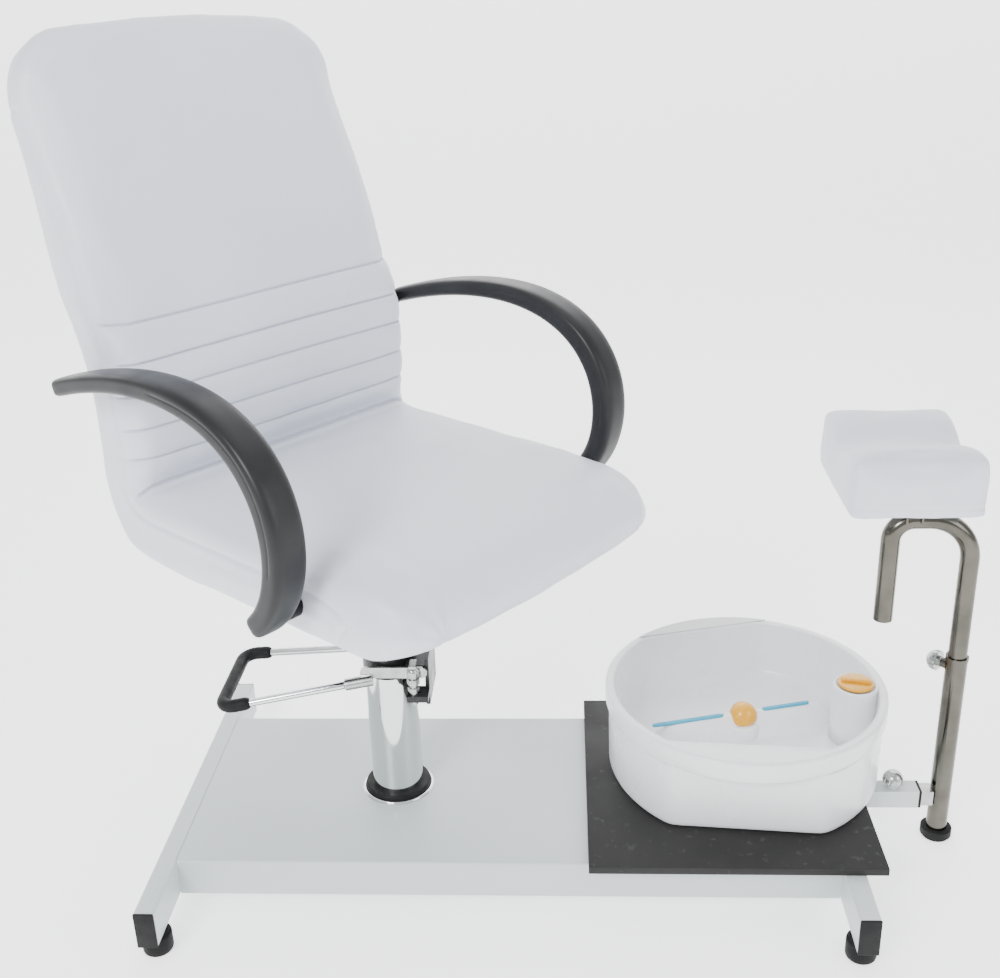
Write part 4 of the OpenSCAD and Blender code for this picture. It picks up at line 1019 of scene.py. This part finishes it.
def make_base(mats):
    # folded sheet with rounded bends
    low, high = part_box("platform")
    r, t = 0.004, 0.002
    outer, inner = [], []
    for i in range(9):
        a = math.pi / 2 * i / 8
        outer.append((low.y + r - r * math.cos(a), high.z - r + r * math.sin(a)))
        inner.append((low.y + r - (r - t) * math.cos(a), high.z - r + (r - t) * math.sin(a)))
    mirror = low.y + high.y
    outer = [(low.y, low.z)] + outer + [(mirror - y, z) for y, z in reversed(outer)] + \
        [(high.y, low.z)]
    inner = [(low.y + t, low.z)] + inner + [(mirror - y, z) for y, z in reversed(inner)] + \
        [(high.y - t, low.z)]
    loop = outer + inner[::-1]
    rings = [[(x, y, z) for y, z in loop] for x in (low.x, low.x + 0.001, high.x - 0.001, high.x)]
    verts, faces = loft(rings, close_ends=False)
    n = len(loop)
    half = len(outer)
    for base, flip in ((0, False), (3 * n, True)):
        for i in range(half - 1):
            q = (base + i, base + i + 1, base + n - 2 - i, base + n - 1 - i)
            faces.append(q[::-1] if flip else q)
    sheet = make_object("deck_sheet", verts, faces, mats["powder"], smooth=False)
    smooth_by_angle(sheet, 30)
    hand_in(sheet, "frame_paint", "base", "platform")

    for node in ("rail_left", "rail_right"):
        low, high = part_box(node)
        loops = []
        for inset, radius in ((0.0, 0.0042), (0.002, 0.0024)):
            loop = []
            x0, x1 = low.x + inset, high.x - inset
            z0, z1 = low.z + inset, high.z - inset
            for cx, cz, a0 in ((x1 - radius, z1 - radius, 0), (x0 + radius, z1 - radius, 90),
                               (x0 + radius, z0 + radius, 180), (x1 - radius, z0 + radius, 270)):
                for i in range(6):
                    a = math.radians(a0 + 18 * i)
                    loop.append((cx + radius * math.cos(a), cz + radius * math.sin(a)))
            loops.append(loop)
        rings = [[(x, y, z) for x, z in loops[0]] for y in (low.y, high.y)] + \
            [[(x, y, z) for x, z in loops[1]] for y in (high.y, low.y)]
        rail = make_object(node + "_tube", *loft(rings, wrap=True), mats["powder"], smooth=False)
        smooth_by_angle(rail, 30)
        hand_in(rail, "frame_paint", "base", node)

    # moulded end caps and rubber feet
    low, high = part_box("rail_end_caps")
    left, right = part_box("rail_left"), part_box("rail_right")
    parts = []
    for rail in (left, right):
        for y0, y1 in ((low.y, rail[0].y), (rail[1].y, high.y)):
            parts.append(box_mesh((rail[0].x + 0.0002, y0, rail[0].z + 0.0002),
                                  (rail[1].x - 0.0002, y1, rail[1].z - 0.0002), 0.0013, 3))
    caps = make_object("end_caps", *join_parts(parts), mats["black_plastic"])
    hand_in(caps, "black_plastic", "base", "rail_end_caps")

    low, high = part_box("base_feet")
    r = 0.022
    top = high.z
    parts = []
    profile = [(0.0150, 0.0), (0.0180, 0.0), (0.0200, 0.0008), (0.0214, 0.0024), (r, 0.0046),
               (r, 0.0100), (r, top - 0.0075), (0.0216, top - 0.0042), (0.0204, top - 0.0030),
               (0.0186, top - 0.0026), (0.0180, top - 0.0012), (0.0178, top)]
    for x in (low.x + r, high.x - r):
        for y in (low.y + r, high.y - r):
            v, f = loft(lathe(profile, 56))
            parts.append(([(a + x, b + y, c) for a, b, c in v], f))
    feet = make_object("rubber_feet", *join_parts(parts), mats["rubber"])
    hand_in(feet, "rubber_feet", "base", "base_feet")

    # board with a softened edge
    low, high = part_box("spa_board")
    board = make_object("board", *box_mesh(low, high, 0.0012, 3), mats["board"], smooth=False)
    smooth_by_angle(board, 40)
    hand_in(board, "board_black", "base", "spa_board")


def smooth_by_angle(obj, degrees):
    """Smooth faces, with edges sharper than the angle kept crisp."""
    mesh = obj.data
    shade(mesh)
    bm = bmesh.new()
    bm.from_mesh(mesh)
    for e in bm.edges:
        e.smooth = len(e.link_faces) == 2 and \
            e.calc_face_angle(0.0) < math.radians(degrees)
    bm.to_mesh(mesh)
    bm.free()


# ---------------------------------------------------------------- lever

def make_lever(mats):
    start = Vector((column.x - 0.038, column.y, 0.316))
    place = Matrix.Translation(start) @ Matrix.Rotation(math.radians(-7.6), 4, "Y")
    spread = math.radians(7.8)
    r = 0.020
    bx = -0.214 + r
    by = 0.053 - (r + bx * math.sin(spread)) / math.cos(spread)

    def half(back, steps=14):
        pts = [(-back * math.cos(spread), 0.053 + back * math.sin(spread))]
        first = math.radians(90) - spread
        touch = (bx + r * math.cos(first), by + r * math.sin(first))
        for k in (0.25, 0.5, 0.75, 0.95):
            pts.append((pts[0][0] + (touch[0] - pts[0][0]) * k,
                        pts[0][1] + (touch[1] - pts[0][1]) * k))
        for i in range(steps + 1):
            a = first + (math.radians(90) + spread) * i / steps
            pts.append((bx + r * math.cos(a), by + r * math.sin(a)))
        return pts

    def whole(back):
        one = half(back)
        mid = [(one[-1][0], one[-1][1] * k) for k in (0.6, 0.2, -0.2, -0.6)]
        return [(x, y, 0.0) for x, y in one + mid + [(x, -y) for x, y in reversed(one)]]

    line = whole(0.0)
    rod = make_object("lever_bow", *loft(tube(line, 0.006, 32)), mats["chrome"], place)
    hand_in(rod, "chrome", "lever", "lever_rod")
    line = catmull(whole(0.170), 0.003)
    n = len(line)
    radii = []
    for i in range(n):
        e = min(i, n - 1 - i)
        radii.append([0.0068, 0.0088, 0.0096, 0.0099, 0.0100][min(e, 4)]
                     - (0.0002 if e % 3 == 0 and e > 4 else 0))
    grip = make_object("lever_sleeve", *loft(tube(line, 0.01, 32, radii)), mats["grip"], place)
    hand_in(grip, "rubber_grip", "lever", "lever_grip")


# ---------------------------------------------------------------- finish of the CAD nodes

FINISH = {
    "powder": ("arm_sleeve",),
    "black_plastic": ("arm_sleeve_bush", "column_flange", "guide_bush", "arm_spacers",
                      "tube_plug", "air_pump", "spa_feet"),
    "rubber": ("post_foot",),
    "black_metal": ("column_plate", "pump_head", "swivel_post", "seat_plate",
                    "seat_beams", "back_irons"),
    "chrome": ("column_trim_ring", "column_sleeve", "piston"),
    "nickel": ("lower_post", "upper_tube", "post_collar", "footrest_plate"),
    "zinc": ("lever_arms", "arm_clamp_knob", "post_clamp_knob", "column_bolts", "board_screws",
             "lever_pin", "thrust_washer", "pump_plunger", "beam_screws", "arm_bolts",
             "inner_arm", "footrest_screws", "heater_plate"),
    "plywood": ("seat_board", "back_board", "footrest_board"),
    "spa": ("spa_base",),
    # the rear ledge insert takes the darker grey that paints the shade on the rear ledge
    "rear_ledge_painted_shade": ("spa_rear_grip",),
}


def finish_nodes(mats):
    for key, names in FINISH.items():
        for name in names:
            mesh = nodes[name].data
            mesh.materials.clear()
            mesh.materials.append(mats[key])


mats = make_materials()
add_camera()
add_studio()
finish_nodes(mats)
make_base(mats)
make_lever(mats)
make_spa(mats)
make_arm("armrest_right", -1, "arm_right", mats)
make_arm("armrest_left", 1, "arm_left", mats)
make_pad(mats)
make_shell(mats)

bpy.context.view_layer.update()
